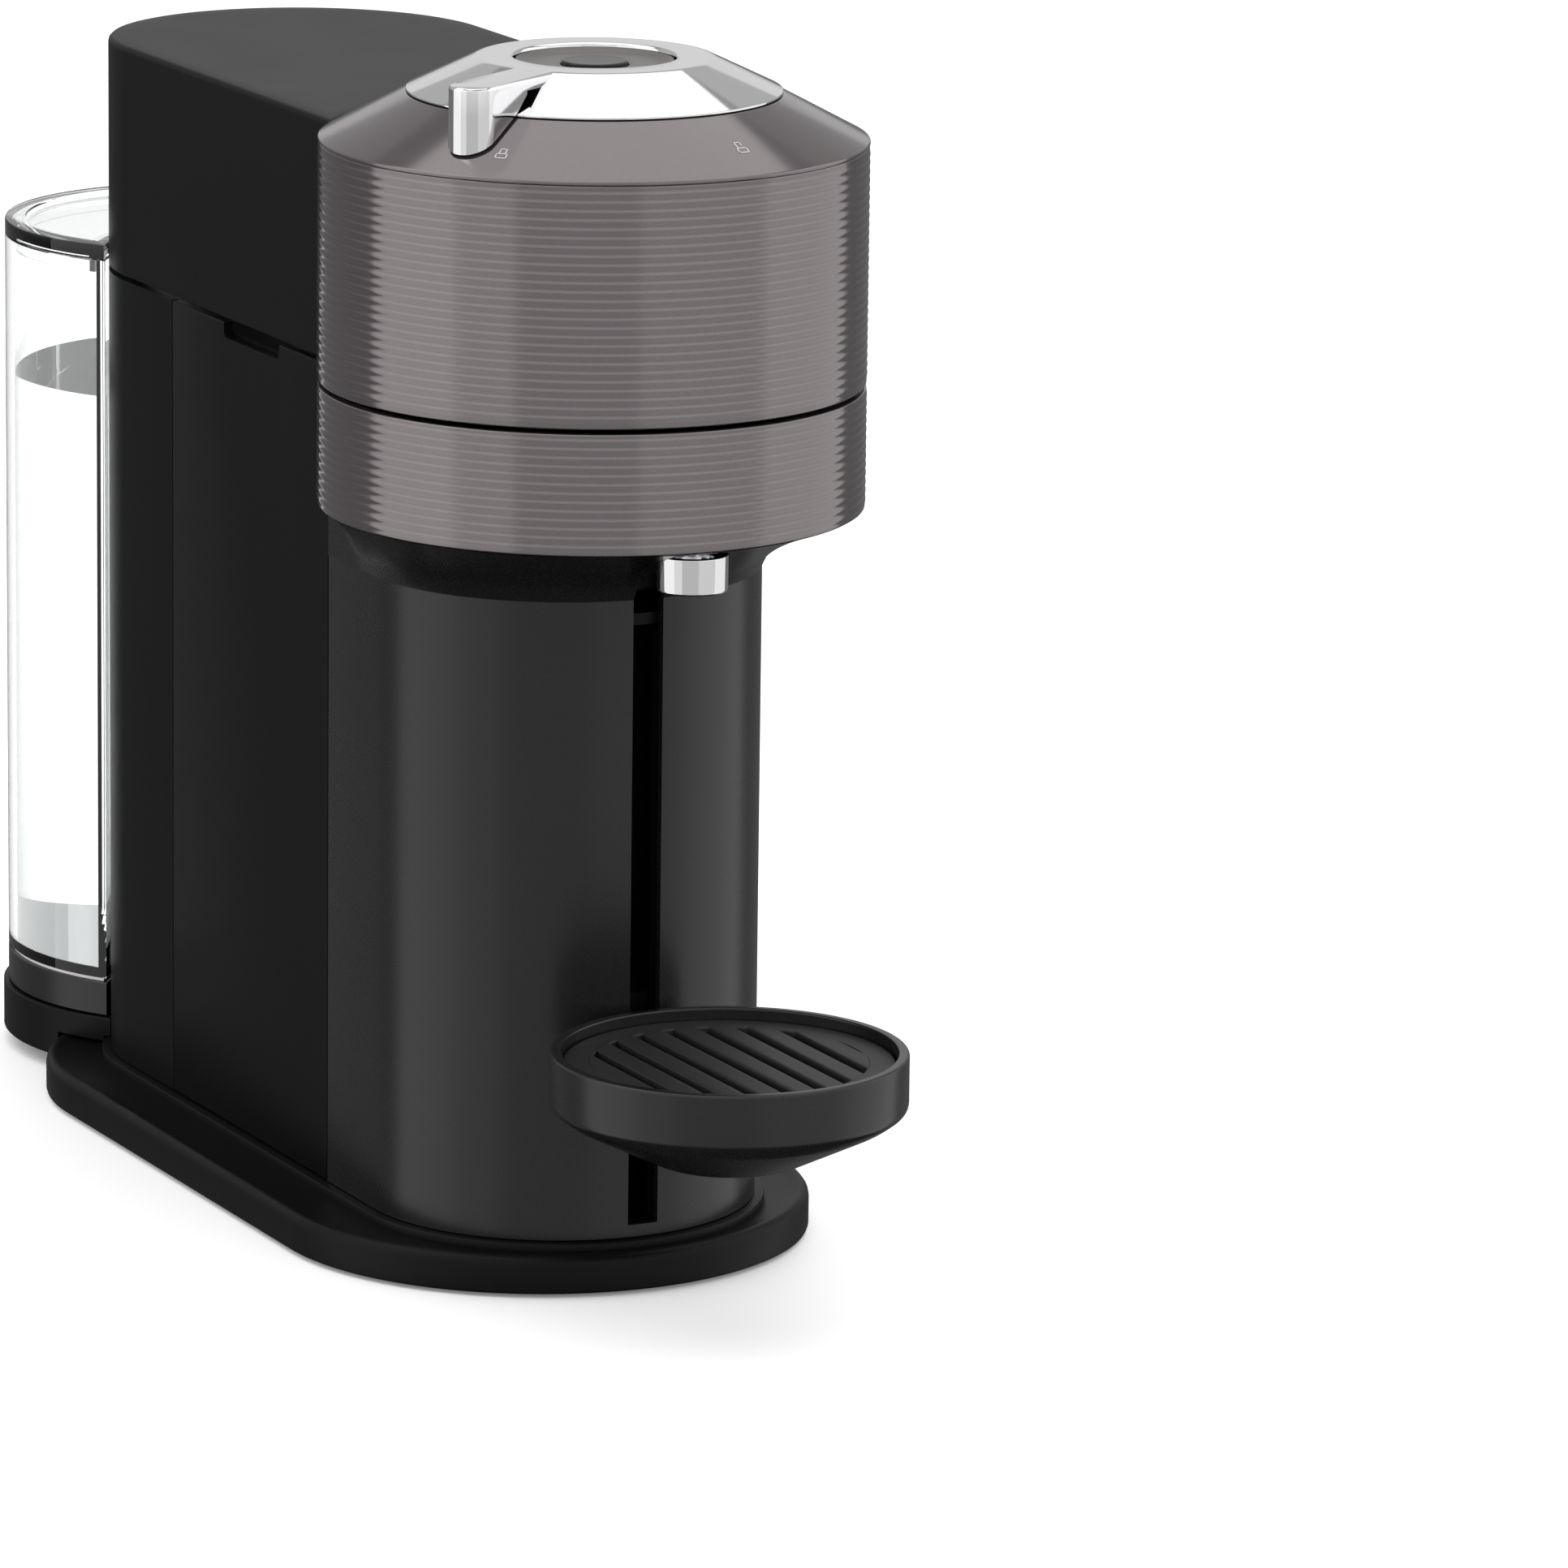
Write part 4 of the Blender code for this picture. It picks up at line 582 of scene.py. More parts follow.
# %% [markdown]
# ## The body
# The column's front, two flat side panels and the rear wall share one plan outline. The narrow
# seams between them and the slot for the cup support are real gaps.

# %% Column, side panels and rear wall
slot_cut = ((-SLOT_HALF, BODY_REAR_Y - 1, SLOT_BOTTOM), (SLOT_HALF, AXIS_Y, NECK_BOTTOM + 0.01))
column = stacked(end_wall(COLUMN_Y, FRONT_SEAM_Y), [(0, BODY_BOTTOM), (0, NECK_BOTTOM)])
make("column", carved(column, block(*slot_cut)), satin_graphite, "housing", ["column_front"])

NOTCH_FRONT, NOTCH_REAR, NOTCH_FLOOR = AXIS_Y + 0.079, AXIS_Y + 0.1145, BODY_TOP - 0.004
for name in ("side_panel_left", "side_panel_right"):
    low, high = span(name)
    notch = block((low.x - 0.005, NOTCH_FRONT, NOTCH_FLOOR),
                  (high.x + 0.005, NOTCH_REAR, BODY_TOP + 0.005), 0.0015)
    make(name.replace("panel", "wall"), carved(block(low, high, 0.0005), notch), matte_black, "housing",
         [name])

rear_wall = stacked(end_wall(BODY_REAR_Y, REAR_SEAM_Y),
                    [(0, BODY_BOTTOM), (0, BODY_TOP - 0.0004), (0.0, BODY_TOP)])
make("rear_wall", rear_wall, matte_black, "housing", ["rear_panel"])


# %% The neck that flares out to the head
SIDE_STEPS, RISE_STEPS = 32, 16


def neck_plan(step):
    """Section of the neck, round in front: t runs from 0 at the column to 1 under the head."""
    t, inset = step
    radius = BODY_HALF + (HEAD_RADIUS - 0.001 - BODY_HALF) * t - inset
    centre = AXIS_Y + (COLUMN_Y - AXIS_Y) * (1 - t)
    rear = FRONT_SEAM_Y + 0.008 - inset
    side = []
    for i in range(1, SIDE_STEPS + 1):
        back = (rear - centre) * i / SIDE_STEPS
        side.append((max(math.sqrt(max(radius ** 2 - back ** 2, 0.0)), BODY_HALF - inset), centre + back))
    return arc(centre, radius, 180, 360, FINE // 2) + side + [(-x, y) for x, y in reversed(side)]


steps = [i / RISE_STEPS for i in range(RISE_STEPS + 1)]
rise = HEAD_BOTTOM - GAP - NECK_BOTTOM
section = [((t, 0.0), NECK_BOTTOM + rise * t ** 0.6) for t in steps]
section += [((t, BODY_WALL), NECK_BOTTOM + rise * t ** 0.6) for t in reversed(steps)]
low, high = span("spout_nozzle")
SPOUT_Y, SPOUT_RADIUS = (low.y + high.y) / 2, (high.x - low.x) / 2
SPOUT_LOW, SPOUT_HIGH = low.z, high.z
neck = carved(stacked(neck_plan, section, ring=True),
              block((-1, FRONT_SEAM_Y, 0), (1, 1, 1)),
              block((-SLOT_HALF, SPOUT_Y + SPOUT_RADIUS + SLOT_HALF, 0),
                    (SLOT_HALF, AXIS_Y, HEAD_BOTTOM - 0.0035)),
              rod(0.0, SPOUT_Y, SPOUT_RADIUS + GAP, 0.0, 1.0))
make("neck", neck, satin_graphite, "housing", ["neck_flare"])

# %% The spout
wall = 0.0018
profile = rounded([(SPOUT_RADIUS, SPOUT_HIGH), (SPOUT_RADIUS, SPOUT_LOW, 0.0008),
                   (SPOUT_RADIUS - wall, SPOUT_LOW, 0.0008), (SPOUT_RADIUS - wall, SPOUT_HIGH)], 0.0003)
make("spout", lathe(profile, SPOUT_Y, sides=96), chrome, "housing", ["spout_nozzle"])

# %% [markdown]
# ## The ribbed walls
# The wall above the opening seam and the ring below it are the same drum, and fine horizontal ribs
# run round both. The drum stops where the rear cover meets it.

# %% Ribbed drum
OPEN_ANGLE = math.degrees(math.asin(BODY_HALF / HEAD_RADIUS))
DRUM_START = 90 + OPEN_ANGLE
DRUM_SWEEP = 360 - 2 * OPEN_ANGLE
SKIN_RADIUS = HEAD_RADIUS - RIB_HEIGHT
BEAD_STEPS = 10
LIP_DEPTH, LIP_HEIGHT = 0.004, 0.002


def drum(profile):
    """Turn a profile round the part of the head that the rear cover leaves open."""
    return lathe(profile, start=DRUM_START, sweep=DRUM_SWEEP)


def ribs(name, low_z, high_z, body):
    """Softly rounded ribs at one pitch between two heights."""
    count = int((high_z - low_z) / RIB_PITCH)
    first = (low_z + high_z - (count - 1) * RIB_PITCH) / 2
    half = RIB_PITCH * 0.48
    bead = [(SKIN_RADIUS - 0.0006, -half)]
    for i in range(BEAD_STEPS + 1):
        t = 2 * i / BEAD_STEPS - 1
        bead.append((SKIN_RADIUS + RIB_HEIGHT * (1 + math.cos(math.pi * t)) / 2, half * t))
    bead.append((SKIN_RADIUS - 0.0006, half))
    mesh = repeated(drum(bead), "GeometryNodeMeshLine", titanium_rib, (0.0, 0.0, first),
                    Count=count, Offset=(0.0, 0.0, RIB_PITCH))
    make(name, mesh, titanium_rib, body, crease=60)


inner = HEAD_RADIUS - HEAD_WALL
profile = rounded([(SKIN_RADIUS, BODY_TOP), (SKIN_RADIUS, HEAD_BOTTOM), (inner - LIP_DEPTH, HEAD_BOTTOM),
                   (inner - LIP_DEPTH, HEAD_BOTTOM + LIP_HEIGHT), (inner, HEAD_BOTTOM + LIP_HEIGHT),
                   (inner, BODY_TOP)], 0.0005)
make("lower_drum", drum(profile), titanium, "housing", ["head_lower_ring"])
ribs("lower_ribs", HEAD_BOTTOM + 0.0004, BODY_TOP - 0.0004, "housing")

# %% Upper drum and cone
profile = rounded([(SKIN_RADIUS, RIDGE_Z - 0.0010), (SKIN_RADIUS, HEAD_SEAM), (inner, HEAD_SEAM),
                   (inner, RIDGE_Z - 0.0010)], 0.0005)
make("upper_drum", drum(profile), titanium, "head", ["head_upper_shell"])
ribs("upper_ribs", HEAD_SEAM + 0.0004, RIDGE_Z - 0.0012, "head")

hole = 0.0446
slope = (CONE_TOP - RIDGE_Z) / (HEAD_RADIUS - CONE_RADIUS)
thick = 0.0022
profile = rounded([(hole, CONE_TOP), (CONE_RADIUS, CONE_TOP), (HEAD_RADIUS, RIDGE_Z, 0.0009),
                   (HEAD_RADIUS, RIDGE_Z - 0.0009, 0.0003), (inner, RIDGE_Z - thick),
                   (hole, RIDGE_Z - thick + slope * (inner - hole))], 0.0004, 5)
make("cone", lathe(profile), titanium, "head")


# %% Rear cover of the head
def hood_plan(inset):
    """The rear cover's outline, hollowed in front where the round head stands."""
    half = BODY_HALF - inset
    reach = HEAD_RADIUS + GAP + inset
    side = math.degrees(math.acos(half / reach))
    return arc(BODY_REAR_Y, half, 0, 180, FINE // 2) + arc(AXIS_Y, reach, 180 - side, side, FINE // 2)


wall = BODY_WALL
section = [(wall, RIDGE_Z - wall), (wall, HEAD_SEAM), (0.0003, HEAD_SEAM), (0, HEAD_SEAM + 0.0003),
           (0, RIDGE_Z - 0.0016), (0.0002, RIDGE_Z - 0.0008), (0.0008, RIDGE_Z - 0.0002),
           (0.0016, RIDGE_Z), (0.006, RIDGE_Z)]
WINDOW_HALF, WINDOW_TOP = 0.0235, 0.2477
window = block((-WINDOW_HALF, BODY_REAR - BODY_WALL * 5, 0.0), (WINDOW_HALF, 1.0, WINDOW_TOP))
front_gap = block((-BODY_HALF + BODY_WALL, AXIS_Y, HEAD_SEAM - 0.01),
                  (BODY_HALF - BODY_WALL, BODY_REAR_Y, RIDGE_Z - wall - 0.001))
make("rear_hood", carved(stacked(hood_plan, section), window, front_gap), matte_black, "head",
     ["rear_cover"])


# %% Padlock icons on the cone
def icon(name, angle, radius, shackle_lift):
    """A padlock drawn on the cone in strips: a body and a shackle."""
    turn = math.radians(-90 + angle)
    height = CONE_TOP - slope * (radius - CONE_RADIUS)
    tilt = Matrix.Rotation(math.atan(slope), 4, "Y")
    place = (Matrix.Translation((0, AXIS_Y, 0)) @ Matrix.Rotation(turn, 4, "Z")
             @ Matrix.Translation((radius, 0, height + 0.00004)) @ tilt)
    bm = bmesh.new()

    def strip(x0, y0, x1, y1):
        corners = [bm.verts.new((x, y, z)) for z in (0.0, 0.00006)
                   for x, y in ((x0, y0), (x1, y0), (x1, y1), (x0, y1))]
        for face in ((0, 1, 2, 3), (7, 6, 5, 4), (0, 4, 5, 1), (1, 5, 6, 2), (2, 6, 7, 3), (3, 7, 4, 0)):
            bm.faces.new([corners[i] for i in face])

    line, half, depth = 0.00035, 0.0016, 0.0021
    for edge in ((0.0, -half, line, half), (depth - line, -half, depth, half),
                 (0.0, -half, depth, -half + line), (0.0, half - line, depth, half)):
        strip(*edge)
    loop = half * 0.62
    top = -0.0019 - shackle_lift
    strip(top, -loop, top + line, loop)
    strip(top, -loop, 0.0, -loop + line)
    strip(top, loop - line, 0.0 - shackle_lift * 2, loop)
    bmesh.ops.recalc_face_normals(bm, faces=bm.faces)
    bmesh.ops.transform(bm, matrix=place, verts=bm.verts)
    make(name, bm, icon_paint, "head")


icon("icon_closed", -47.6, 0.0610, 0.0)
icon("icon_open", 11.5, 0.0600, 0.0004)

# %% [markdown]
# ## The lock ring, its lever and the button
# The ring is turned with a flat top and a straight flank. The lever is level with the flat and
# follows the cone below, so it is cut out of a wedge and joined to the ring.


# %% Lock ring and lever
def about_axis(bm, degrees):
    """Turn a bmesh about the head's upright axis."""
    bmesh.ops.rotate(bm, cent=(0, AXIS_Y, 0), matrix=Matrix.Rotation(math.radians(degrees), 3, "Z"),
                     verts=bm.verts)
    return bm


under = CONE_TOP + GAP
profile = rounded([(RING_HOLE, RING_TOP, 0.0012), (RING_FLAT, RING_TOP, 0.0009),
                   (CONE_RADIUS - 0.0002, under + 0.0005, 0.0003), (CONE_RADIUS - 0.0002, under, 0.0001),
                   (0.040, under, 0), (RING_FLAT, RING_TOP - 0.0025, 0), (RING_HOLE, RING_TOP - 0.0025, 0)],
                  0.0, 6)
ring = lathe(profile)


def lever_plan(inset):
    """The lever before it is turned into place: a bar with a half-round end."""
    half = LEVER_HALF - inset
    near, far = RING_FLAT - 0.004, LEVER_REACH - LEVER_HALF
    end = [(far + half * math.cos(math.radians(a)), AXIS_Y + half * math.sin(math.radians(a)))
           for a in range(-90, 91, 5)]
    return [(near, AXIS_Y - half), *end, (near, AXIS_Y + half)]


lever = stacked(lever_plan, [(0, RIDGE_Z), (0, RING_TOP - 0.0010), (0.0001, RING_TOP - 0.0006),
                             (0.0004, RING_TOP - 0.0002), (0.0010, RING_TOP - 0.00002)])
near, far, lift = CONE_RADIUS - 0.006, HEAD_RADIUS + 0.01, 0.0008
deep = RIDGE_Z - 0.02
clearance = lathe([(near, RING_TOP - 0.003), (CONE_RADIUS, CONE_TOP + lift),
                   (far, CONE_TOP - slope * (far - CONE_RADIUS) + lift), (far, deep), (near, deep)])
lever = carved(about_axis(lever, -90 - LEVER_ANGLE), clearance,
               rod(0.0, AXIS_Y, near + 0.001, deep, RING_TOP - 0.003, FINE))
make("lock_ring_and_lever", carved(ring, lever, operation="UNION"), chrome, "lock", ["lock_ring"],
     crease=25)

# %% Dish and button
low, high = span("button_dish")
radius, floor = (high.x - low.x) / 2, RING_TOP - 0.0022
hole = 0.0087
profile = rounded([(radius, high.z, 0), (radius, low.z, 0), (hole, low.z, 0), (hole, floor, 0.0004),
                   (radius - 0.0020, floor, 0.0012)], 0.0)
make("dish", lathe(profile), dish_plastic, "head", ["button_dish"])
low, high = span("brew_button")
radius, under = (high.x - low.x) / 2, floor - 0.0027
stem = 0.0022
profile = rounded([(0, high.z - 0.0002, 0), (radius - 0.0020, high.z - 0.0001, 0.0006),
                   (radius, high.z, 0.0005), (radius, under, 0), (stem, under, 0), (stem, low.z, 0),
                   (0, low.z, 0)], 0.0, 5, closed=False)
make("start_button", lathe(profile, sides=128, closed=False), button_black, "button", ["brew_button"])

# %% The spring under the button
low, high = span("button_spring")
WIRE, TURNS, TURN_STEPS = 0.0004, 4, 32
path = bpy.data.curves.new("spring", "CURVE")
path.dimensions, path.bevel_depth, path.bevel_resolution, path.use_fill_caps = "3D", WIRE, 3, True
line = path.splines.new("POLY")
line.points.add(TURNS * TURN_STEPS)
radius, rise = (high.x - low.x) / 2 - WIRE, high.z - low.z - 2 * WIRE
for i, point in enumerate(line.points):
    angle = 2 * math.pi * i / TURN_STEPS
    point.co = (radius * math.cos(angle), AXIS_Y + radius * math.sin(angle),
                low.z + WIRE + rise * i / (TURNS * TURN_STEPS), 1.0)
coil = bpy.data.objects.new("spring", path)
bpy.context.scene.collection.objects.link(coil)
spring = make("spring", plain_mesh(coil), steel, "head", ["button_spring"], crease=60)
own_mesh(spring)

# %% [markdown]
# ## The brewing unit
# It shows when the head is open: a round chamber, the spinning holder that takes a capsule, and the
# plate that pierces it with a ring of short needles.

# %% Chamber, holder and piercing plate
low, high = span("brew_chamber")
radius, floor, bore = (high.x - low.x) / 2, low.z + 0.0025, 0.0158
profile = rounded([(radius, high.z), (radius, low.z), (bore, low.z, 0), (bore, floor, 0),
                   (radius - 0.003, floor, 0.0015), (radius - 0.003, high.z)], 0.0006)
make("chamber", lathe(profile), dark_plastic, "housing", ["brew_chamber"])

low, high = span("capsule_holder")
rim, cup, top = (high.x - low.x) / 2, 0.0315, high.z
floor = top - 0.020
profile = rounded([(0, floor, 0), (cup * 0.5, floor), (cup, floor + 0.008, 0.004), (cup, top, 0.0012),
                   (rim, top), (rim, top - 0.0025), (cup + 0.003, top - 0.0025),
                   (cup + 0.003, floor + 0.0065, 0.003), (cup * 0.55, floor - 0.003),
                   (0.008, floor - 0.003, 0), (0.008, low.z, 0), (0, low.z, 0)], 0.0006, closed=False)
make("holder", lathe(profile, closed=False), grey_plastic, "rotor", ["capsule_holder"])

low, high = span("pierce_plate")
rim, face = (high.x - low.x) / 2, low.z + 0.0012
profile = rounded([(0, high.z, 0), (0.008, high.z, 0), (0.008, face + 0.0028, 0), (rim, face + 0.0028),
                   (rim, face), (0, face, 0)], 0.0005, closed=False)
make("plate", lathe(profile, closed=False), steel, "piercer", ["pierce_plate"])
needle = lathe([(0, low.z), (0.0009, face + 0.0002), (0, face + 0.0002)], 0.0, 0.0, 12, closed=False)
NEEDLES, NEEDLE_CIRCLE = 20, 0.029
needles = repeated(needle, "GeometryNodeMeshCircle", steel, (0.0, AXIS_Y, 0.0),
                   Vertices=NEEDLES, Radius=NEEDLE_CIRCLE)
make("needles", needles, steel, "piercer")

# %% [markdown]
# ## The cup support and its grid
# A shallow round dish with an upright band and a cone under it. An arm carries it through the slot
# in the column to the carriage inside.

# %% Cup support
low, high = span("drip_grid")
SUPPORT_Y = (low.y + high.y) / 2
GRID_LOW, GRID_HIGH, GRID_RADIUS = low.z, high.z, (high.x - low.x) / 2
low, high = span("cup_support")
SUPPORT_RADIUS, SUPPORT_TOP, SUPPORT_BOTTOM = (high.x - low.x) / 2, high.z, low.z
pocket, floor = SUPPORT_RADIUS - 0.0028, SUPPORT_TOP - 0.012
band, shelf = SUPPORT_TOP - 0.0141, GRID_LOW - GAP
profile = rounded([(0, floor, 0), (pocket - 0.003, floor, 0.0015), (pocket - 0.003, shelf, 0.0003),
                   (pocket, shelf, 0.0003), (pocket, SUPPORT_TOP, 0.0006),
                   (SUPPORT_RADIUS, SUPPORT_TOP, 0.0010), (SUPPORT_RADIUS, band, 0.0016),
                   (SUPPORT_RADIUS - 0.004, band - 0.0030, 0.002), (0.018, SUPPORT_BOTTOM, 0.0025),
                   (0, SUPPORT_BOTTOM, 0)], 0.0, 6, closed=False)
make("cup_stand", lathe(profile, SUPPORT_Y, closed=False), satin_graphite, "support", ["cup_support"])
arm_half, arm_end = 0.0036, span("support_carriage")[0].y - GAP
arm = block((-arm_half, SUPPORT_Y + SUPPORT_RADIUS - 0.006, SUPPORT_BOTTOM + 0.003),
            (arm_half, arm_end, floor - 0.001), 0.0008)
make("support_arm", arm, satin_graphite, "support")

# %% Drip grid
edge = GRID_RADIUS - 0.0070
profile = rounded([(GRID_RADIUS, GRID_LOW), (edge, GRID_LOW), (edge, GRID_HIGH), (GRID_RADIUS, GRID_HIGH)],
                  0.0004)
make("grid_rim", lathe(profile, SUPPORT_Y), dark_plastic, "grid", ["drip_grid"])
PITCH, WIDTH, BARS = 0.0090, 0.0060, 8
bar = block((-WIDTH / 2, -0.05, GRID_LOW), (WIDTH / 2, 0.05, GRID_HIGH), 0.0004)
bars = repeated(bar, "GeometryNodeMeshLine", dark_plastic, (-(BARS - 1) / 2 * PITCH, SUPPORT_Y, 0.0),
                Count=BARS, Offset=(PITCH, 0.0, 0.0))
long_bars = bmesh.new()
long_bars.from_mesh(bars)
bars = carved(long_bars, rod(0.0, SUPPORT_Y, edge + 0.0005, GRID_LOW - 0.01, GRID_HIGH + 0.01, FINE),
              operation="INTERSECT")
make("grid_bars", bars, dark_plastic, "grid")

# %% [markdown]
# ## The water tank
# A clear tank wraps round the rear of the body. Its wall is a real thin wall with air inside it,
# the water is a piece of its own a tenth of a millimetre away from the wall, and a frosted plate
# under the floor hides the dock. The dark skirt below is a solid slab with one hole over the port,
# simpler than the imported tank's thin skirt. So it cuts into the inlet hose at rest, and into the port
# as the tank is drawn out.

# %% The tank's outline
TANK_RADIUS, TANK_HOLLOW, TANK_WALL = 0.056, BODY_HALF + 0.0022, 0.0024
TANK_BEHIND_AXIS = 0.2440
TANK_Y = AXIS_Y + TANK_BEHIND_AXIS
low, high = span("water_tank")
TANK_BOTTOM, TANK_TOP = low.z, high.z
TANK_FLOOR, WATER_LINE = 0.031, 0.1915
PORT_Y = (span("tank_valve")[0].y + span("tank_valve")[1].y) / 2


def crescent(inset):
    """A circle hollowed round the body's rear, moved in by inset. The two arcs meet in sharp tips."""
    radius, hollow = TANK_RADIUS - inset, TANK_HOLLOW + inset
    apart = TANK_Y - BODY_REAR_Y
    meet = (apart ** 2 + radius ** 2 - hollow ** 2) / (2 * apart)
    back = math.degrees(math.asin(meet / radius))
    wrap = math.degrees(math.asin((apart - meet) / hollow))
    outer = arc(TANK_Y, radius, -back, 180 + back, FINE * 3 // 4)
    return outer + arc(BODY_REAR_Y, hollow, 180 - wrap, wrap, FINE // 2)[1:-1]


# %% Tank, water, floor plate and skirt
under = TANK_FLOOR - TANK_WALL
section = [(TANK_WALL, TANK_FLOOR), (TANK_WALL, TANK_TOP - 0.0002), (TANK_WALL - 0.0002, TANK_TOP),
           (0.0002, TANK_TOP), (0, TANK_TOP - 0.0002), (0, under + 0.0002), (0.0002, under)]
tank = carved(stacked(crescent, section), rod(0.0, PORT_Y, 0.0024, under - 0.01, TANK_FLOOR + 0.01))
make("tank_shell", tank, clear_plastic, "tank", ["water_tank"])
section = [(TANK_WALL + 0.0001, TANK_FLOOR + 0.0001), (TANK_WALL + 0.0001, WATER_LINE)]
water = carved(stacked(crescent, section), rod(0.0, PORT_Y, 0.0056, TANK_FLOOR - 0.01, TANK_FLOOR + 0.006))
make("tank_water", water, water_finish, "tank")
skirt_top, port_hole = under - 0.0012, 0.0090
for name, finish, section in (
        ("tank_plate", floor_frost, [(0.0010, skirt_top + 0.0001), (0.0010, under - 0.0001)]),
        ("tank_skirt", button_black, [(0.0003, TANK_BOTTOM), (0, TANK_BOTTOM + 0.0003),
                                      (0, skirt_top - 0.0003), (0.0003, skirt_top)])):
    make(name, carved(stacked(crescent, section), rod(0.0, PORT_Y, port_hole, 0.0, 0.1)), finish, "tank")

# %% Lid
low, high = span("tank_lid")
LID_LOW, LID_TOP = TANK_TOP + GAP, high.z
tongue = TANK_WALL + 0.0006
section = [(tongue + 0.0018, LID_LOW), (tongue + 0.0018, low.z), (tongue, low.z), (tongue, LID_LOW),
           (0.0002, LID_LOW), (0, LID_LOW + 0.0002), (0, LID_TOP - 0.0006), (0.0002, LID_TOP - 0.0001),
           (0.0006, LID_TOP), (0.0056, LID_TOP), (0.0060, LID_TOP - 0.0004), (0.0060, LID_TOP - 0.0016)]
make("lid", stacked(crescent, section), clear_plastic, "lid", ["tank_lid"])

# %% Dock
low, high = span("tank_dock")
section = [(-0.0011, low.z), (-0.0014, low.z + 0.0003), (-0.0014, high.z - 0.0004), (-0.0010, high.z)]
base = stacked(base_plan, [(-GAP, -0.01), (-GAP, BASE_TOP + GAP)])
step = stacked(plinth_plan, [(-GAP, 0.0), (-GAP, PLINTH_TOP + GAP)])
dock = carved(stacked(crescent, section), base, step,
              rod(0.0, PORT_Y, 0.0068, span("dock_port")[0].z - 0.0003, 1.0))
make("dock", dock, matte_black, "housing", ["tank_dock"])

# %% [markdown]
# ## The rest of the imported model
# Pieces inside the body, and small pieces that are already round enough, stay as they are packed.
# They get the same procedural finishes and smooth shading.

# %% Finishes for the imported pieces
KEPT = {
    "base_cover": matte_black, "cord_gland": black_rubber, "deck_cover": matte_black,
    "main_frame": matte_black, "hinge_block": black_steel, "hinge_pin": steel, "rotor_bearing": steel,
    "drive_motor": steel, "drive_belt": black_rubber, "spout_duct": matte_black,
    "support_rail": matte_black, "dock_port": black_rubber, "water_pump": steel,
    "boiler_block": cast_aluminium, "flow_meter": dark_plastic, "control_board": circuit_green,
    "inlet_hose": hose_silicone, "pump_hose": hose_silicone, "brew_hose": hose_silicone,
    "capsule_bin": dark_plastic, "head_frame": grey_plastic, "brew_head": dark_plastic,
    "head_seal": black_rubber, "head_hose": hose_silicone, "switch_board": circuit_green,
    "lock_collar": steel, "holder_pulley": dark_plastic, "motor_pulley": steel,
    "support_carriage": matte_black, "tank_valve": black_rubber,
}
for name, finish in KEPT.items():
    mesh = nodes[name].data
    mesh.materials.clear()
    mesh.materials.append(finish)
    mesh.shade_smooth()
    mesh.set_sharp_from_angle(angle=math.radians(32))
print(len(KEPT), "packed pieces keep their shape")

# %% [markdown]
# ## Camera
# The camera stands far off to the front left and looks slightly down through a long lens. Its place
# was solved from the machine's own ellipses and seams.

# %% Camera
ANGLE, DISTANCE, HEIGHT = math.radians(25.8276), 2.4406, 0.6926
YAW, PITCH_DOWN, ROLL = math.radians(1.1773), math.radians(13.0915), math.radians(0.7452)
place = Vector((-DISTANCE * math.sin(ANGLE), AXIS_Y - DISTANCE * math.cos(ANGLE), HEIGHT))
heading = ANGLE + YAW
forward = Vector((math.sin(heading) * math.cos(PITCH_DOWN), math.cos(heading) * math.cos(PITCH_DOWN),
                  -math.sin(PITCH_DOWN)))
right = Vector((math.cos(heading), -math.sin(heading), 0.0))
up = right.cross(forward)
right, up = (math.cos(ROLL) * right + math.sin(ROLL) * up, math.cos(ROLL) * up - math.sin(ROLL) * right)
lens = bpy.data.cameras.new("camera")
lens.lens, lens.sensor_width = 223.94, 36.0
lens.clip_end = 60.0
camera = bpy.data.objects.new("camera", lens)
camera.matrix_world = Matrix.Translation(place) @ Matrix((right, up, -forward)).transposed().to_4x4()
bpy.context.scene.collection.objects.link(camera)
bpy.context.scene.camera = camera

# %% [markdown]
# ## Light
# Chrome shows its surroundings, so the light is a ring of tall soft panels at set bearings round the
# machine, a small dim one high behind it for the ring's top, and one above. The floor is pale and
# doesn't show in reflections. The world is white, but reflections see it as a dim gradient.


# %% Panels, floor and world
def panel(name, from_bearing, to_bearing, radiance, reach=1.8, height=3.0, centre_z=0.2):
    """A tall soft panel that faces the machine. Bearing 0 is the front and + is to the right."""
    middle = math.radians((from_bearing + to_bearing) / 2)
    width = 2 * reach * math.tan(math.radians(to_bearing - from_bearing) / 2)
    light = bpy.data.lights.new(name, "AREA")
    light.shape, light.size, light.size_y = "RECTANGLE", width, height
    light.energy = math.pi * radiance * width * height
    lamp = bpy.data.objects.new(name, light)
    lamp.location = (reach * math.sin(middle), -reach * math.cos(middle) + AXIS_Y, centre_z)
    lamp.rotation_euler = (math.pi / 2, 0.0, middle)
    lamp.visible_camera = False
    bpy.context.scene.collection.objects.link(lamp)


panel("strip_left", -128, -85, 1.0, height=4.4, centre_z=0.9)
panel("fill_left", -85, -58, 0.75)
panel("dim_front", -58, -6, 0.5)
panel("fill_right", -6, 50, 0.65)
panel("strip_right", 50, 102, 0.9)
panel("rear_right", 102, 167, 0.15)
panel("rear_left", 167, 232, 0.15)
panel("rear_high", 138, 170, 0.25, height=0.8, centre_z=0.75)

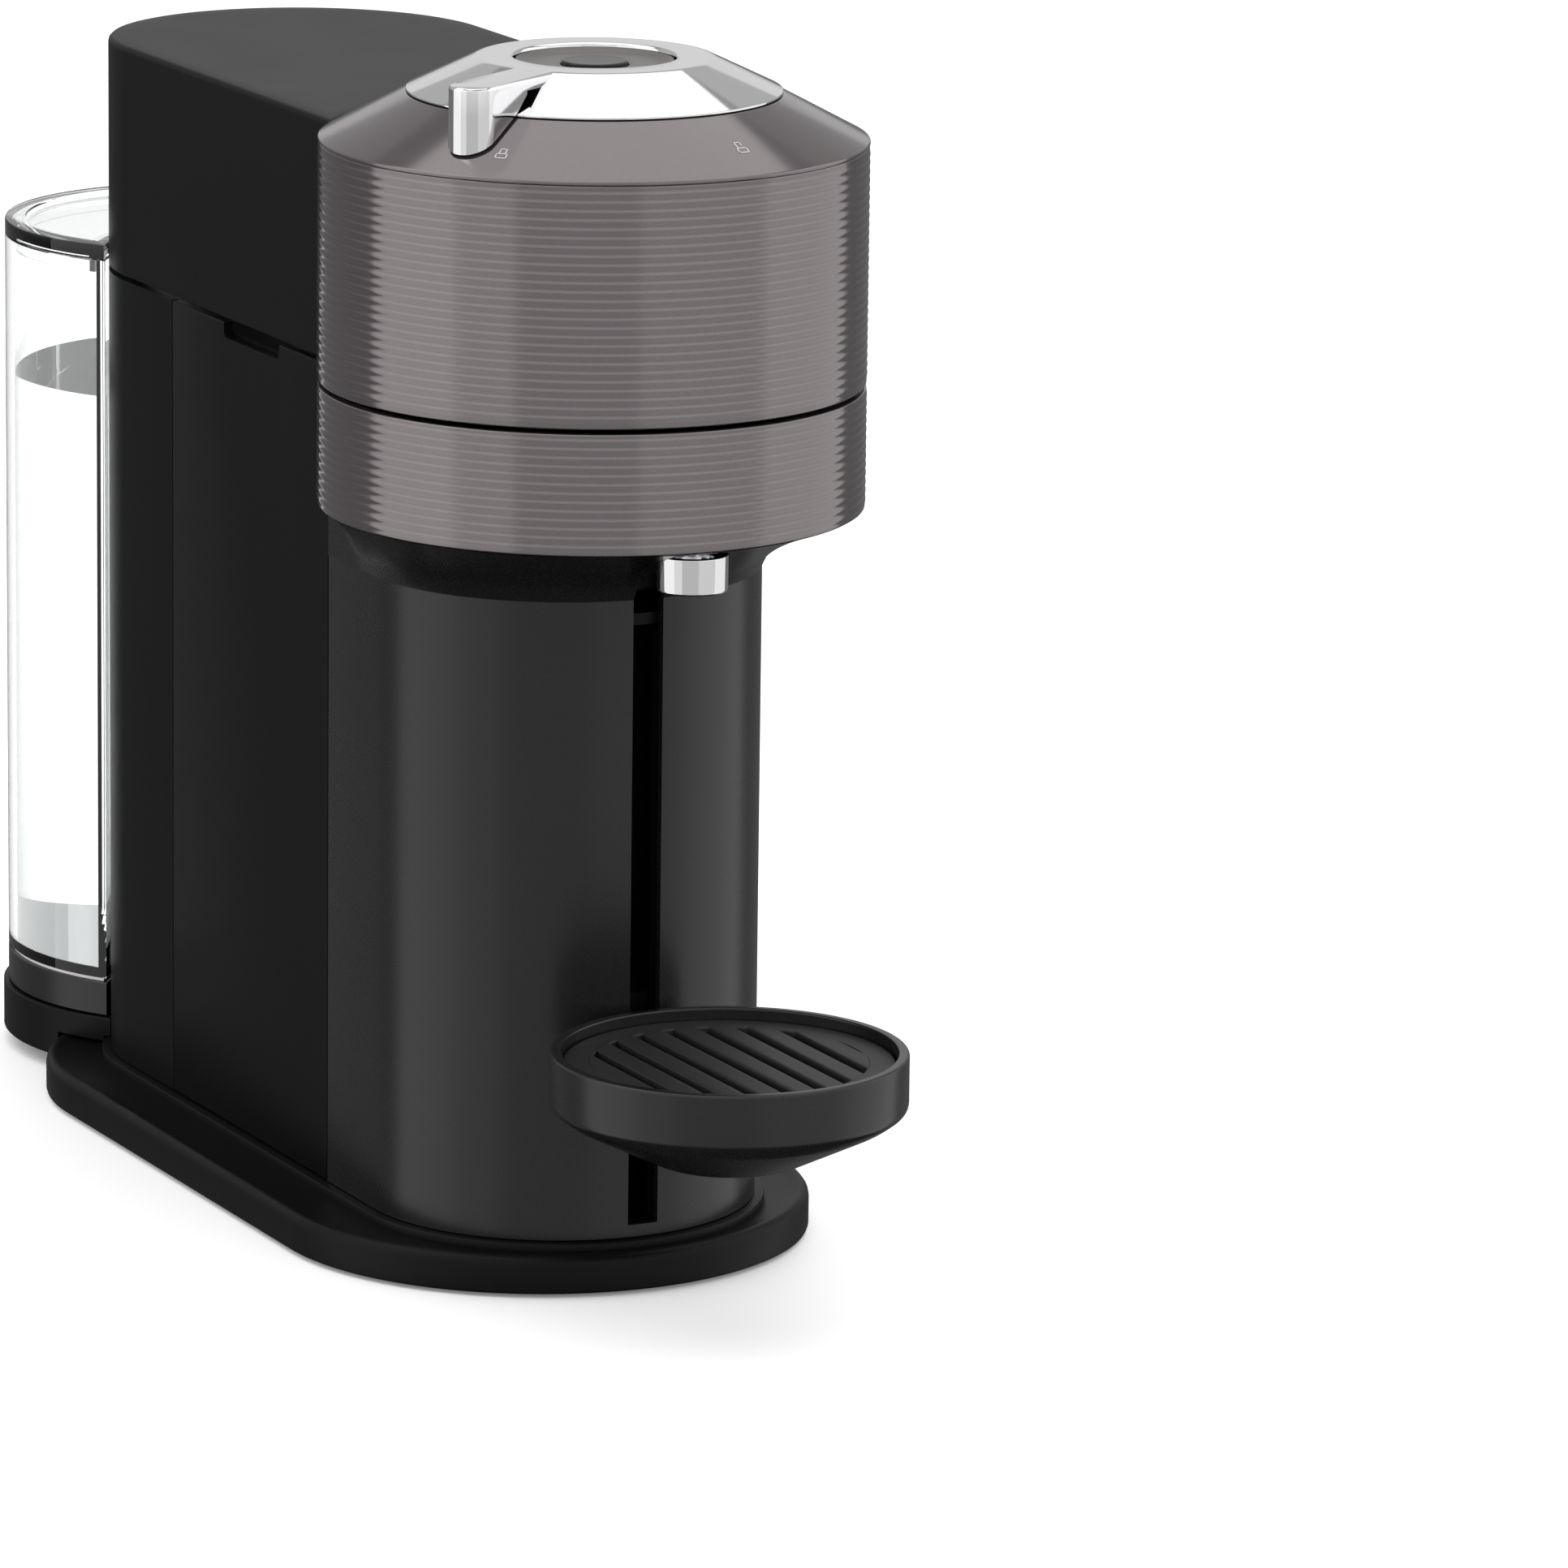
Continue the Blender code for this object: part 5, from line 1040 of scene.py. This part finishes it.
OVERHEAD_SIDE, OVERHEAD_RADIANCE = 3.4, 0.95
soft = bpy.data.lights.new("overhead", "AREA")
soft.shape, soft.size, soft.size_y = "RECTANGLE", OVERHEAD_SIDE, OVERHEAD_SIDE
soft.energy = math.pi * OVERHEAD_RADIANCE * OVERHEAD_SIDE * OVERHEAD_SIDE
overhead = bpy.data.objects.new("overhead", soft)
overhead.location = (0.0, 0.0, 2.2)
overhead.visible_camera = False
bpy.context.scene.collection.objects.link(overhead)

floor_paint = Finish("floor_paint", (0.90, 0.90, 0.90), 0.6, Emission_Color=(1.0, 1.0, 1.0, 1.0),
                     Emission_Strength=0.12).material
bm = bmesh.new()
bmesh.ops.create_grid(bm, x_segments=1, y_segments=1, size=20.0)
mesh = bpy.data.meshes.new("floor")
bm.to_mesh(mesh)
bm.free()
mesh.materials.append(floor_paint)
ground = bpy.data.objects.new("floor", mesh)
ground.visible_glossy = False
bpy.context.scene.collection.objects.link(ground)

world = bpy.data.worlds.new("studio")
bpy.context.scene.world = world
world.use_nodes = True
tree = world.node_tree
background = tree.nodes["Background"]
background.inputs["Color"].default_value = (1.0, 1.0, 1.0, 1.0)
path = tree.nodes.new("ShaderNodeLightPath")
mixed = tree.nodes.new("ShaderNodeMix")
mixed.data_type = "FLOAT"
direction = tree.nodes.new("ShaderNodeNewGeometry")
split = tree.nodes.new("ShaderNodeSeparateXYZ")
ramp = tree.nodes.new("ShaderNodeMapRange")
ramp.inputs["From Min"].default_value, ramp.inputs["From Max"].default_value = -0.02, 0.14
ramp.inputs["To Min"].default_value, ramp.inputs["To Max"].default_value = 0.02, 0.3
tree.links.new(direction.outputs["Incoming"], split.inputs[0])
flip = tree.nodes.new("ShaderNodeMath")
flip.operation = "MULTIPLY"
flip.inputs[1].default_value = -1.0
tree.links.new(split.outputs["Z"], flip.inputs[0])
tree.links.new(flip.outputs[0], ramp.inputs["Value"])
tree.links.new(path.outputs["Is Glossy Ray"], mixed.inputs[0])
mixed.inputs[2].default_value = 1.0
tree.links.new(ramp.outputs["Result"], mixed.inputs[3])
tree.links.new(mixed.outputs[0], background.inputs["Strength"])
bpy.context.scene.view_settings.view_transform = "Standard"
